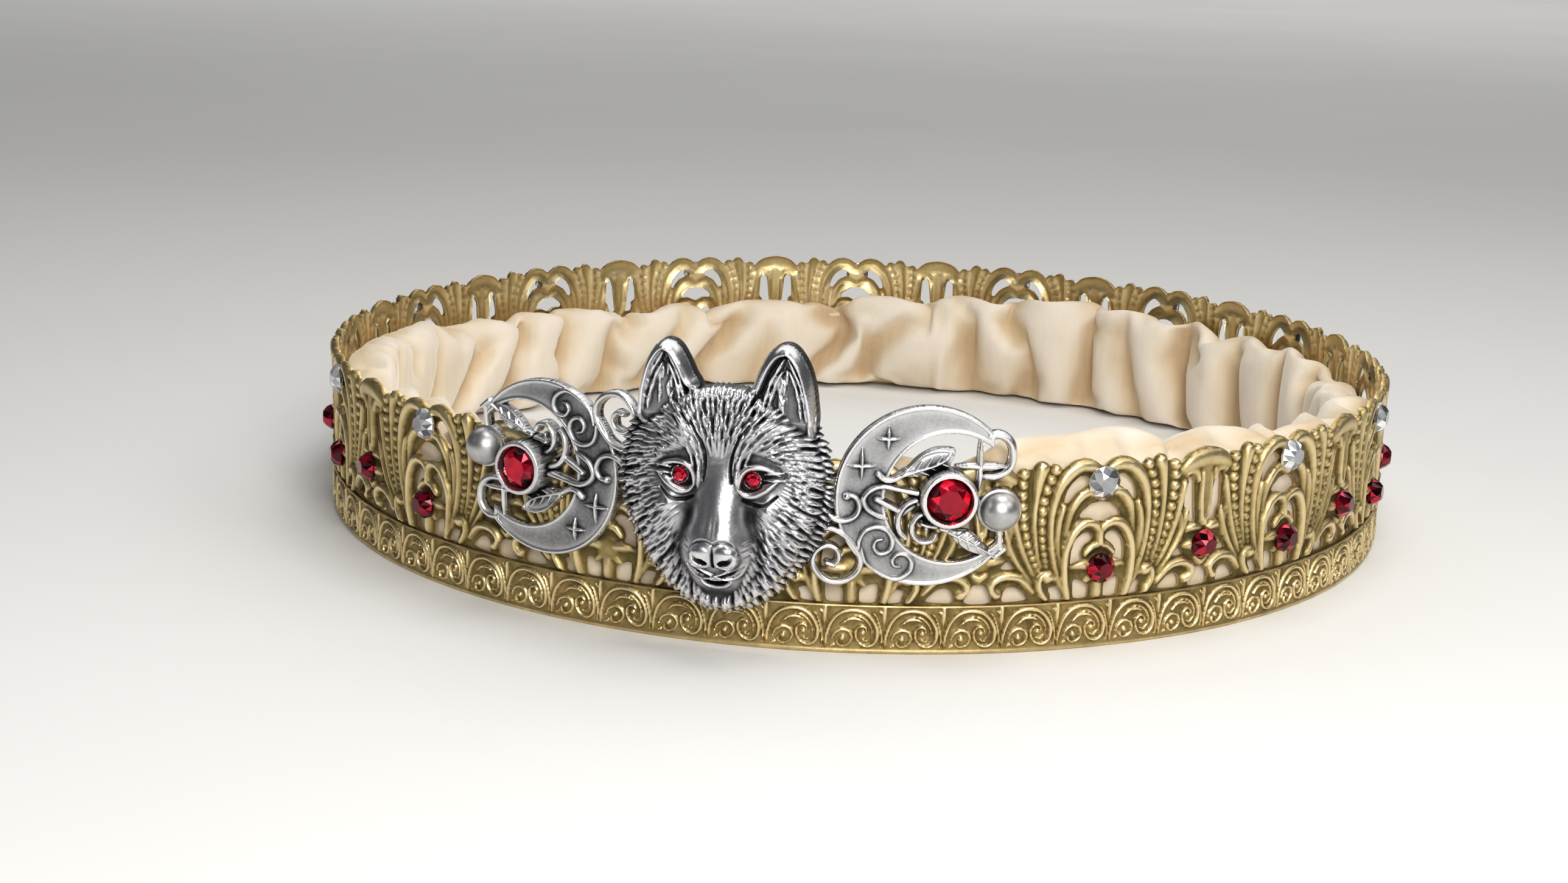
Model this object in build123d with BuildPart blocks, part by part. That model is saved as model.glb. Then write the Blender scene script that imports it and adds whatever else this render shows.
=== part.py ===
"""Coronet: a stamped openwork brass band with an embossed border strip, a gathered
velvet lining, a cast wolf's head between two crescent-moon castings, and glued stones.

Frame: millimetres, +Z up, the band's lower edge on Z = 0, its axis on the Z axis,
and the wolf's head at the front, facing -Y. Angles are measured at the front,
positive towards +X.
"""

import math
import os

from build123d import *

os.makedirs("parts", exist_ok=True)

# ---------------------------------------------------------------- driving sizes
BAND_R = 95.2            # outer face of the openwork band (about 190 mm across)
BAND_WALL = 0.9
BAND_FOOT = 0.3          # the openwork starts a little above the border's lower edge
BAND_RIM = 29.2          # top of the tallest lobes
VALLEY_R = 1.25          # radius of the dips between the rim's lobes
REPEATS = 16             # tall oval motif + slotted motif, sixteen times round
STEP = 360.0 / REPEATS

BORDER_IN = 95.25
BORDER_OUT = 95.95
BORDER_HIGH = 7.4

LINING_OUT = 93.9        # velvet's outer face, just inside the band
LINING_FOOT = 0.6
LINING_THICK = 6.4       # padded thickness at mid height
LINING_FOLD = 1.1        # how far the gathers go in and out
GATHERS = 44             # gathers round the lining
SECTIONS = 88            # sections round the ring, two to a gather

MOON_ANGLE = 17.37       # where the centres of the moons sit, each side of the front
MOON_Z_RIGHT = 24.2
MOON_Z_LEFT = 23.6
MOON_IN = 95.35          # the flat castings touch the band along their middles
MOON_THICK = 1.35
BALL_R = 2.9
CUP_R = 4.1
CUP_HIGH = 3.0
MOON_STONE_R = 3.2

WOLF_BACK = 97.5         # distance of the head's flat back from the axis
WOLF_PLATE = 2.2         # thickness of the ruff
WOLF_NOSE = 9.0          # the nose stands this far off the back
WOLF_BOSS_W, WOLF_BOSS_H, WOLF_BOSS_Z = 15.0, 16.0, 20.0
EYE_X, EYE_Z = 5.3, 26.8

CLEAR_R, CLEAR_HIGH, CLEAR_Z = 2.55, 1.9, 25.3
RED_R, RED_HIGH = 2.3, 2.2
RED_Z_OVAL, RED_Z_SLOT = 12.2, 14.4
STONE_BACK = 95.3


def tangent_plane(angle, radius, z):
    """Plane touching the cylinder of that radius: x along the band, y up, z outwards."""
    a = math.radians(angle)
    return Plane(
        origin=(radius * math.sin(a), -radius * math.cos(a), z),
        x_dir=(math.cos(a), math.sin(a), 0),
        z_dir=(math.sin(a), -math.cos(a), 0),
    )


# ---------------------------------------------------------------- openwork band
# Windows of half a repeat, mirrored about each motif's own centre line.
# motif, along_mm, low_mm, high_mm, width_mm, lean_deg (top leans towards + along)
WINDOWS = [
    ("oval", 4.05, 22.9, 26.6, 2.0, -38.0),   # between the outer and inner arches
    ("oval", 3.25, 13.6, 17.8, 2.1, -12.0),   # beside the flower in the small oval
    ("oval", 2.75, 7.8, 10.0, 1.6, 0.0),      # under the flower
    ("oval", 6.45, 7.7, 9.7, 1.5, 0.0),       # outside the oval's foot
    ("slot", 2.45, 17.6, 24.6, 1.5, 7.0),     # long slots beside the stem
    ("slot", 5.9, 7.7, 9.7, 2.9, 0.0),        # under the foot scrolls
    ("slot", 1.3, 7.7, 9.2, 1.0, 0.0),
]
# Dips between the rim's lobes: along_mm from the oval motif's centre
VALLEYS = [0.0, 6.7, 8.9, 11.2, 13.0]

with BuildPart() as sector:
    with BuildSketch(Plane.XY.offset(BAND_FOOT)):
        with BuildLine():
            a0, a1 = math.radians(-90 - STEP / 2), math.radians(-90 + STEP / 2)
            outer = [(BAND_R * math.cos(a), BAND_R * math.sin(a)) for a in (a0, (a0 + a1) / 2, a1)]
            r_in = BAND_R - BAND_WALL
            inner = [(r_in * math.cos(a), r_in * math.sin(a)) for a in (a0, (a0 + a1) / 2, a1)]
            ThreePointArc(*outer)
            Line(outer[2], inner[2])
            ThreePointArc(inner[2], inner[1], inner[0])
            Line(inner[0], outer[0])
        make_face()
    extrude(amount=BAND_RIM - BAND_FOOT)
    # this sector runs from one slotted motif's centre to the next, with the oval in the middle
    for motif, along, low, high, width, lean in WINDOWS:
        centres = [0.0] if motif == "oval" else [-STEP / 2, STEP / 2]
        for centre in centres:
            for side in (-1, 1):
                if motif == "slot" and side * centre > 0:
                    continue
                where = centre + side * math.degrees(along / BAND_R)
                with BuildSketch(tangent_plane(where, BAND_R, (low + high) / 2)):
                    if high - low > width:
                        SlotOverall(high - low, width, rotation=90 - side * lean)
                    else:
                        SlotOverall(width, high - low)
                extrude(amount=3, both=True, mode=Mode.SUBTRACT)
    with BuildSketch(tangent_plane(0, BAND_R, 20.9)):     # bow-shaped window over the small oval
        with BuildLine():
            ThreePointArc((-3.6, -1.0), (0, 1.7), (3.6, -1.0))
            ThreePointArc((3.6, -1.0), (0, 0.1), (-3.6, -1.0))
        make_face()
    extrude(amount=3, both=True, mode=Mode.SUBTRACT)
    for along in VALLEYS:
        for side in ((1,) if along == 0 else (-1, 1)):
            with BuildSketch(tangent_plane(side * math.degrees(along / BAND_R), BAND_R, BAND_RIM + 0.25)):
                Circle(VALLEY_R if along else VALLEY_R * 0.8)
            extrude(amount=3, both=True, mode=Mode.SUBTRACT)

with BuildPart() as filigree_band:
    with PolarLocations(0, REPEATS, start_angle=STEP / 2):
        add(sector.part)
filigree_band.part.label = "filigree_band"

# ---------------------------------------------------------------- border strip
with BuildPart() as border_band:
    with BuildSketch():
        Circle(BORDER_OUT)
        Circle(BORDER_IN, mode=Mode.SUBTRACT)
    extrude(amount=BORDER_HIGH)
border_band.part.label = "border_band"

# ---------------------------------------------------------------- velvet lining
# Height of the lining's rolled top edge round the ring (angle_deg from the front, top_mm).
LINING_TOP = [
    (-180, 20.6), (-165, 20.4), (-150, 19.4), (-130, 20.6), (-110, 22.6), (-90, 25.4),
    (-70, 27.2), (-45, 28.4), (-20, 28.6), (0, 28.6), (20, 28.8), (45, 29.2), (70, 28.0),
    (90, 25.6), (110, 23.2), (130, 22.4), (150, 21.4), (165, 22.8), (180, 20.6),
]


def lining_top(angle):
    for (a, za), (b, zb) in zip(LINING_TOP, LINING_TOP[1:]):
        if a <= angle <= b:
            t = (angle - a) / (b - a)
            t = t * t * (3 - 2 * t)
            return za + (zb - za) * t
    return LINING_TOP[0][1]


def lining_section(k):
    """The padded roll's section at section k: a closed outline of (radius, height)."""
    angle = -180 + 360.0 * k / SECTIONS
    top = lining_top(angle)
    fold = LINING_FOLD * (1 if k % 2 else -1) * (0.75 + 0.25 * math.sin(math.radians(angle * 5)))
    crest = LINING_OUT - 0.45 * LINING_THICK
    inner = LINING_OUT - LINING_THICK - fold
    sag = 0.35 * fold
    return [
        (LINING_OUT, LINING_FOOT),
        (LINING_OUT, top - 3.2),
        (crest + 1.6, top - 0.7),
        (crest, top - sag * 0.4),
        (inner + 1.9, top - 1.4),
        (inner, top - 5.0),
        (inner - 0.5, 9.5),
        (inner + 1.2, 3.2),
        (inner + 3.0, LINING_FOOT),
    ]


quarters = []
per = SECTIONS // 4
for q in range(4):
    with BuildPart() as quarter:
        for k in range(q * per, (q + 1) * per + 1):
            angle = -180 + 360.0 * k / SECTIONS
            a = math.radians(angle)
            out = (math.sin(a), -math.cos(a), 0)
            face_plane = Plane(origin=(0, 0, 0), x_dir=out, z_dir=(math.cos(a), math.sin(a), 0))
            outline = [(r, -z) if face_plane.y_dir.Z < 0 else (r, z) for r, z in lining_section(k % SECTIONS)]
            with BuildSketch(face_plane):
                with BuildLine():
                    Polyline(*outline, close=True)
                make_face()
        loft(ruled=True)
    quarters.append(quarter.part)

with BuildPart() as velvet_lining:
    for piece in quarters:
        add(piece)
velvet_lining.part.label = "velvet_lining"

# ---------------------------------------------------------------- wolf's head
front = tangent_plane(0, WOLF_BACK, 0)
# right half of the head's outline: x_mm from the middle, z_mm height
WOLF_OUTLINE = [
    (0.0, 6.3), (4.5, 7.3), (8.5, 10.4), (11.9, 14.6), (14.0, 19.2), (14.9, 24.0),
    (14.6, 28.4), (13.4, 31.6), (13.0, 35.0), (12.7, 38.6), (11.6, 42.3), (10.0, 44.7),
    (8.6, 45.4), (7.0, 44.6), (5.4, 42.2), (4.0, 39.4), (2.0, 38.9), (0.0, 39.0),
]
outline = WOLF_OUTLINE + [(-x, z) for x, z in reversed(WOLF_OUTLINE[1:-1])]
# face: depth_mm from the back, half_width_mm, half_height_mm, centre_z_mm of each section
FACE_SECTIONS = [
    (0.0, 14.2, 15.6, 22.8), (2.6, 13.6, 15.0, 23.0), (4.8, 10.2, 12.4, 23.0),
    (6.4, 6.6, 9.6, 21.2), (8.0, 4.6, 6.6, 18.0),
]
# muzzle: depth_mm from the back, half_width_mm, half_height_mm, centre_z_mm
MUZZLE_SECTIONS = [(6.4, 4.6, 5.4, 17.4), (WOLF_NOSE, 3.3, 2.6, 15.0)]
with BuildPart() as wolf_head:
    with BuildSketch(front):
        with BuildLine():
            Polyline(*outline, close=True)
        make_face()
    extrude(amount=WOLF_PLATE)
    for sections in (FACE_SECTIONS, MUZZLE_SECTIONS):
        for depth, half_w, half_h, centre_z in sections:
            with BuildSketch(tangent_plane(0, WOLF_BACK + depth, centre_z)):
                Ellipse(half_w, half_h)
        loft(ruled=True)
    # boss on the flat back, which fills the space to the curved band
    with BuildSketch(tangent_plane(0, BAND_R - 1, WOLF_BOSS_Z)):
        Rectangle(WOLF_BOSS_W, WOLF_BOSS_H)
    extrude(until=Until.NEXT)
    with BuildSketch(Plane.XY):
        Circle(BAND_R + 0.08)
    extrude(amount=60, mode=Mode.SUBTRACT)
    for side in (-1, 1):      # seats for the eye stones
        with BuildSketch(tangent_plane(0, WOLF_BACK + 5.0, EYE_Z)):
            with Locations((side * EYE_X, 0)):
                Circle(1.0)
        extrude(amount=6, mode=Mode.SUBTRACT)
wolf_head.part.label = "wolf_head"

eyes = {}
for name, side in (("eye_stone_left", -1), ("eye_stone_right", 1)):
    with BuildPart() as eye:
        with BuildSketch(tangent_plane(0, WOLF_BACK + 5.05, EYE_Z)):
            with Locations((side * EYE_X, 0)):
                RegularPolygon(0.92, 8)
        extrude(amount=0.7)
    eye.part.label = name
    eyes[name] = eye.part

# ---------------------------------------------------------------- moon castings
# Plan of the right-hand casting, in mm from the centre of its outer edge: x along the
# band, y up. The left-hand one is the same casting turned half round in its plane.
MOON_DISC = 13.33                      # radius of the outer edge
MOON_BITE = (3.47, -0.16, 9.48)        # x, y, radius of the inner edge
CUP_AT = (3.0, 0.1)
BALL_AT = (10.6, -1.8)
# straight webs of the casting: x1, y1, x2, y2, width
WEBS = [
    (7.6, 9.2, 7.6, 1.2, 1.0),       # the long star's upright
    (4.1, 4.5, 11.4, 4.5, 1.0),      # the long star's arm
    (-6.4, 2.8, -3.9, 3.0, 1.1),     # upper leaf's stem
    (-3.9, 3.2, 3.1, 6.0, 2.4),      # upper leaf
    (4.1, -4.9, 5.4, -6.3, 1.4),     # lower leaf's stem
    (5.4, -6.4, 9.5, -8.0, 1.9),     # lower leaf
    (-7.8, 0.8, -0.6, 0.6, 1.0),     # tendrils beside the cup
    (-7.2, -2.6, -0.6, -2.3, 1.0),
    (10.9, -3.9, 11.0, -8.3, 1.1),   # link from the ball to the lower horn
]
# open rings of the casting: x, y, outer radius, inner radius
RINGS = [
    (-12.6, -8.7, 4.2, 3.1),         # large curl
    (-12.1, -1.9, 2.8, 1.8),         # hooked curl
    (9.6, 6.2, 3.2, 2.1),            # end loop
    (-1.0, -4.8, 2.6, 1.7),          # curl beside the cup
]


def moon_casting(angle, height, turn):
    """The flat casting, its stone and its ball, turned by turn degrees in their plane."""
    s, c = math.sin(math.radians(turn)), math.cos(math.radians(turn))

    def at(x, y):
        return (x * c - y * s, x * s + y * c)

    back = tangent_plane(angle, MOON_IN, height)
    cup_x, cup_y = at(*CUP_AT)
    ball_x, ball_y = at(*BALL_AT)
    with BuildPart() as casting:
        with BuildSketch(back):
            Circle(MOON_DISC)
            with Locations(at(*MOON_BITE[:2])):
                Circle(MOON_BITE[2], mode=Mode.SUBTRACT)
            with Locations(at(14.4, -0.4)):      # the horns' ends are cut off square
                Rectangle(5.0, 14.0, mode=Mode.SUBTRACT)
            for x, y, r_out, r_in in RINGS:
                with Locations(at(x, y)):
                    Circle(r_out)
            for x, y, r_out, r_in in RINGS:
                with Locations(at(x, y)):
                    Circle(r_in, mode=Mode.SUBTRACT)
            for x1, y1, x2, y2, width in WEBS:
                p, q = at(x1, y1), at(x2, y2)
                lean = math.degrees(math.atan2(q[1] - p[1], q[0] - p[0]))
                with Locations(((p[0] + q[0]) / 2, (p[1] + q[1]) / 2)):
                    SlotOverall(math.hypot(q[0] - p[0], q[1] - p[1]) + width, width, rotation=lean)
            with Locations((cup_x, cup_y)):
                Circle(CUP_R)
            with Locations((ball_x, ball_y)):
                Circle(BALL_R - 0.4)
        extrude(amount=MOON_THICK)
        with BuildSketch(back):
            with Locations((cup_x, cup_y)):
                Circle(CUP_R)
        extrude(amount=MOON_THICK + CUP_HIGH)
        with BuildSketch(back.offset(MOON_THICK + 1.0)):
            with Locations((cup_x, cup_y)):
                Circle(MOON_STONE_R + 0.08)
        extrude(amount=CUP_HIGH, mode=Mode.SUBTRACT)
    # the stone: height_mm above the casting's face, radius_mm of each section
    stone = dome(back, cup_x, cup_y, [(1.05, MOON_STONE_R), (CUP_HIGH - 0.2, MOON_STONE_R),
                                      (CUP_HIGH + 0.9, MOON_STONE_R * 0.5)])
    # the half-ball, flat behind, on a short rim
    ball = dome(back, ball_x, ball_y, [(0.1, BALL_R), (0.8, BALL_R), (1.9, BALL_R * 0.93),
                                       (2.9, BALL_R * 0.70), (3.45, BALL_R * 0.40), (3.65, BALL_R * 0.12)])
    return casting.part, stone, ball


def dome(back, x, y, sections):
    """A round stone or half-ball on a casting: straight-sided between its sections."""
    with BuildPart() as piece:
        for height, radius in sections:
            with BuildSketch(back.offset(MOON_THICK + height)):
                with Locations((x, y)):
                    RegularPolygon(radius, 16)
        loft(ruled=True)
    return piece.part


moons = {}
for side, angle, height, turn in (("right", MOON_ANGLE, MOON_Z_RIGHT, 0), ("left", -MOON_ANGLE, MOON_Z_LEFT, 180)):
    casting, stone, ball = moon_casting(angle, height, turn)
    for piece, name in ((casting, "moon_charm_"), (stone, "moon_stone_"), (ball, "moon_ball_")):
        piece.label = name + side
        moons[name + side] = piece

# ---------------------------------------------------------------- glued stones
def stone_solid(angle, z, radius, high, name):
    """A faceted flat-backed stone: an eight-sided girdle under a pyramid with a small table."""
    with BuildPart() as stone:
        with BuildSketch(tangent_plane(angle, STONE_BACK, z)):
            RegularPolygon(radius, 8, rotation=22.5)
        extrude(amount=0.5)
        with BuildSketch(tangent_plane(angle, STONE_BACK + 0.5, z)):
            RegularPolygon(radius, 8, rotation=22.5)
        with BuildSketch(tangent_plane(angle, STONE_BACK + high, z)):
            RegularPolygon(radius * 0.32, 8, rotation=22.5)
        loft(ruled=True)
    stone.part.label = name
    return stone.part


stones = {}
clear_count = red_count = 0
for k in range(REPEATS):
    oval = STEP / 2 + k * STEP          # tall oval motifs
    slot = STEP + k * STEP              # slotted motifs; the head covers the one at 0
    oval = oval - 360 if oval > 180 else oval
    slot = slot - 360 if slot > 180.1 else slot
    if abs(oval) > 20:                  # those under the castings carry none
        clear_count += 1
        name = f"clear_stone_{clear_count:02d}"
        stones[name] = stone_solid(oval, CLEAR_Z, CLEAR_R, CLEAR_HIGH, name)
        red_count += 1
        name = f"red_stone_{red_count:02d}"
        stones[name] = stone_solid(oval, RED_Z_OVAL, RED_R, RED_HIGH, name)
    if 30 < abs(slot) < 179:            # none at the back seam
        red_count += 1
        name = f"red_stone_{red_count:02d}"
        stones[name] = stone_solid(slot, RED_Z_SLOT, RED_R, RED_HIGH, name)

# ---------------------------------------------------------------- write the parts
export_step(filigree_band.part, "parts/filigree_band.step")
export_step(border_band.part, "parts/border_band.step")
export_step(velvet_lining.part, "parts/velvet_lining.step")
export_step(wolf_head.part, "parts/wolf_head.step")
for group in (eyes, moons, stones):
    for name, piece in group.items():
        export_step(piece, f"parts/{name}.step")
print("stones", clear_count, red_count)
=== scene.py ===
"""The coronet's looks: stamped brass, silver castings, faceted stones and gathered velvet."""
import math

import bpy
import numpy as np
from mathutils import Vector, Matrix


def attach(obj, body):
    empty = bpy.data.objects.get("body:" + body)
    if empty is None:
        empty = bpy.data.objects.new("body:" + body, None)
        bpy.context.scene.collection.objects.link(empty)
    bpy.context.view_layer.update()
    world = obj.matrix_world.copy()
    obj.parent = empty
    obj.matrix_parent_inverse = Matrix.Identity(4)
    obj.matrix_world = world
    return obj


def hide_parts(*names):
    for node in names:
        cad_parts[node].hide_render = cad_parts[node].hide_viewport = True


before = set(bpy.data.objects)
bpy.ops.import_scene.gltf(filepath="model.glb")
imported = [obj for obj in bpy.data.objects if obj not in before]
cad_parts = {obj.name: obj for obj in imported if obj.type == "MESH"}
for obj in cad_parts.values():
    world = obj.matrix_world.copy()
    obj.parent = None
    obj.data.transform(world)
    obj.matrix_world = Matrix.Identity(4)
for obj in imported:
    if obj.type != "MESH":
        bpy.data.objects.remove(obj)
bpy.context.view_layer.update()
MM = 0.001
# the wolf's eyes, from the middle of the head, and the height of their seats
EYE_AT = (-5.7, 4.95)
EYE_Y = 27.05
EYE_SEAT = 4.6

# ---------------------------------------------------------------- height maps
# Stamped and cast metal is worked out as a height map over a flat plan, in mm, with a
# second map that is positive inside the metal and negative in the openings.


def smooth_line(points, per=8):
    """Points along a smooth curve through the given rows; any extra columns follow."""
    p = np.array(points, float)
    if len(p) < 3:
        t = np.linspace(0, 1, per + 1)[:, None]
        return p[0] * (1 - t) + p[-1] * t
    q = np.vstack([2 * p[0] - p[1], p, 2 * p[-1] - p[-2]])
    out = []
    for i in range(1, len(q) - 2):
        t = np.linspace(0, 1, per, endpoint=False)[:, None]
        a, b, c, d = q[i - 1], q[i], q[i + 1], q[i + 2]
        out.append(0.5 * (2 * b + (c - a) * t + (2 * a - 5 * b + 4 * c - d) * t ** 2
                          + (3 * b - a - 3 * c + d) * t ** 3))
    out.append(p[-1:])
    return np.vstack(out)


def blur(a, sigma, wrap=False):
    """Gaussian blur of a 2-D array; sigma in cells."""
    n = int(max(1, round(3 * sigma)))
    k = np.exp(-0.5 * (np.arange(-n, n + 1) / sigma) ** 2)
    k /= k.sum()
    b = np.pad(a, ((n, n), (0, 0)), mode="edge")
    a = sum(w * b[i:i + a.shape[0]] for i, w in enumerate(k))
    b = np.pad(a, ((0, 0), (n, n)), mode="wrap" if wrap else "edge")
    return sum(w * b[:, i:i + a.shape[1]] for i, w in enumerate(k))


class Relief:
    def __init__(self, x0, x1, y0, y1, step, base=0.0, solid=-9.0):
        self.x = np.linspace(x0, x1, int(round((x1 - x0) / step)) + 1)
        self.y = np.linspace(y0, y1, int(round((y1 - y0) / step)) + 1)
        self.h = np.full((len(self.y), len(self.x)), float(base))
        self.s = np.full((len(self.y), len(self.x)), float(solid))
        self.painted_light = 0.0                              # painted light, added to what the relief gives

    def window(self, xa, xb, ya, yb):
        i0, i1 = np.searchsorted(self.x, [xa, xb])
        j0, j1 = np.searchsorted(self.y, [ya, yb])
        i0, j0 = max(i0 - 1, 0), max(j0 - 1, 0)
        i1, j1 = min(i1 + 1, len(self.x)), min(j1 + 1, len(self.y))
        w = (slice(j0, j1), slice(i0, i1))
        X, Y = np.meshgrid(self.x[i0:i1], self.y[j0:j1])
        return w, X, Y

    def rib(self, points, width, rise, base=0.0, power=0.5, solid=True, smooth=True, per=6, mode="max", tilt=0.0):
        """A raised rib along a curve. width, rise and base are numbers, or lists along the points."""
        pts = np.array(points, float)
        n = len(pts)
        cols = [np.full(n, v) if np.isscalar(v) else np.interp(np.linspace(0, 1, n), np.linspace(0, 1, len(v)), v)
                for v in (width, rise, base)]
        data = np.column_stack([pts] + cols)
        if smooth:
            data = smooth_line(data, per)
        pad = data[:, 2].max() * 0.6 + 0.1
        w, X, Y = self.window(data[:, 0].min() - pad, data[:, 0].max() + pad, data[:, 1].min() - pad, data[:, 1].max() + pad)
        if X.size == 0:
            return
        best = np.full(X.shape, 1e9)
        R = np.ones(X.shape)
        A = np.zeros(X.shape)
        B = np.zeros(X.shape)
        D = np.full(X.shape, 1e9)
        for a, b in zip(data[:-1], data[1:]):
            dx, dy = b[0] - a[0], b[1] - a[1]
            L2 = dx * dx + dy * dy
            if L2 < 1e-12:
                continue
            t = np.clip(((X - a[0]) * dx + (Y - a[1]) * dy) / L2, 0, 1)
            d = np.hypot(X - a[0] - t * dx, Y - a[1] - t * dy)
            r = 0.5 * (a[2] + (b[2] - a[2]) * t)
            k = d / np.maximum(r, 1e-6)
            m = k < best
            best = np.where(m, k, best)
            R = np.where(m, r, R)
            D = np.where(m, d, D)
            A = np.where(m, a[3] + (b[3] - a[3]) * t, A)
            B = np.where(m, a[4] + (b[4] - a[4]) * t, B)
        f = np.clip(1 - best ** 2, 0, None) ** power
        if tilt:
            f = f * (1 - tilt * best)
        on = best < 1
        new = B + A * f
        if mode == "max":
            self.h[w] = np.where(on, np.maximum(self.h[w], new), self.h[w])
        elif mode == "set":
            self.h[w] = np.where(on, new, self.h[w])
        elif mode == "cut":
            self.h[w] = np.where(on, self.h[w] - A * f, self.h[w])
        elif mode == "add":
            self.h[w] = np.where(on, self.h[w] + A * f, self.h[w])
        if solid:
            self.s[w] = np.maximum(self.s[w], R - D)

    def bead(self, x, y, r, rise, base=0.0, solid=True, power=0.5, rx=None, turn=0.0, mode="max"):
        rx = rx or r
        big = max(r, rx) + 0.1
        w, X, Y = self.window(x - big, x + big, y - big, y + big)
        if X.size == 0:
            return
        c, s = math.cos(math.radians(turn)), math.sin(math.radians(turn))
        u = ((X - x) * c + (Y - y) * s) / rx
        v = (-(X - x) * s + (Y - y) * c) / r
        k = np.hypot(u, v)
        f = np.clip(1 - k ** 2, 0, None) ** power
        if mode == "max":
            self.h[w] = np.where(k < 1, np.maximum(self.h[w], base + rise * f), self.h[w])
        elif mode == "add":
            self.h[w] = np.where(k < 1, self.h[w] + rise * f, self.h[w])
        elif mode == "cut":
            self.h[w] = np.where(k < 1, self.h[w] - rise * f, self.h[w])
        if solid:
            self.s[w] = np.maximum(self.s[w], (1 - k) * min(r, rx))

    def polygon(self, points, smooth=False, per=5):
        """Signed distance to a closed outline, positive inside."""
        p = np.array(points, float)
        if smooth:
            q = np.vstack([p[-1:], p, p[:2]])
            out = []
            for i in range(1, len(q) - 2):
                t = np.linspace(0, 1, per, endpoint=False)[:, None]
                a, b, c, d = q[i - 1], q[i], q[i + 1], q[i + 2]
                out.append(0.5 * (2 * b + (c - a) * t + (2 * a - 5 * b + 4 * c - d) * t ** 2
                                  + (3 * b - a - 3 * c + d) * t ** 3))
            p = np.vstack(out)
        w, X, Y = self.window(p[:, 0].min() - 1.5, p[:, 0].max() + 1.5, p[:, 1].min() - 1.5, p[:, 1].max() + 1.5)
        d = np.full(X.shape, 1e9)
        inside = np.zeros(X.shape, bool)
        for a, b in zip(p, np.roll(p, -1, axis=0)):
            dx, dy = b - a
            L2 = dx * dx + dy * dy
            if L2 < 1e-12:
                continue
            t = np.clip(((X - a[0]) * dx + (Y - a[1]) * dy) / L2, 0, 1)
            d = np.minimum(d, np.hypot(X - a[0] - t * dx, Y - a[1] - t * dy))
            cross = ((a[1] > Y) != (b[1] > Y))
            with np.errstate(divide="ignore", invalid="ignore"):
                xc = a[0] + (Y - a[1]) * dx / (dy if dy else 1e-9)
            inside ^= cross & (X < xc)
        return w, np.where(inside, d, -d)

    def plate(self, points, h=None, smooth=False):
        w, d = self.polygon(points, smooth)
        self.s[w] = np.maximum(self.s[w], d)
        if h is not None:
            self.h[w] = np.where(d > 0, np.maximum(self.h[w], h), self.h[w])

    def hole(self, points, smooth=True):
        w, d = self.polygon(points, smooth)
        self.s[w] = np.minimum(self.s[w], -d)
        return w, d


BAND_STEP_MM = 37.311      # one repeat along the band at radius 95.0


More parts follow.
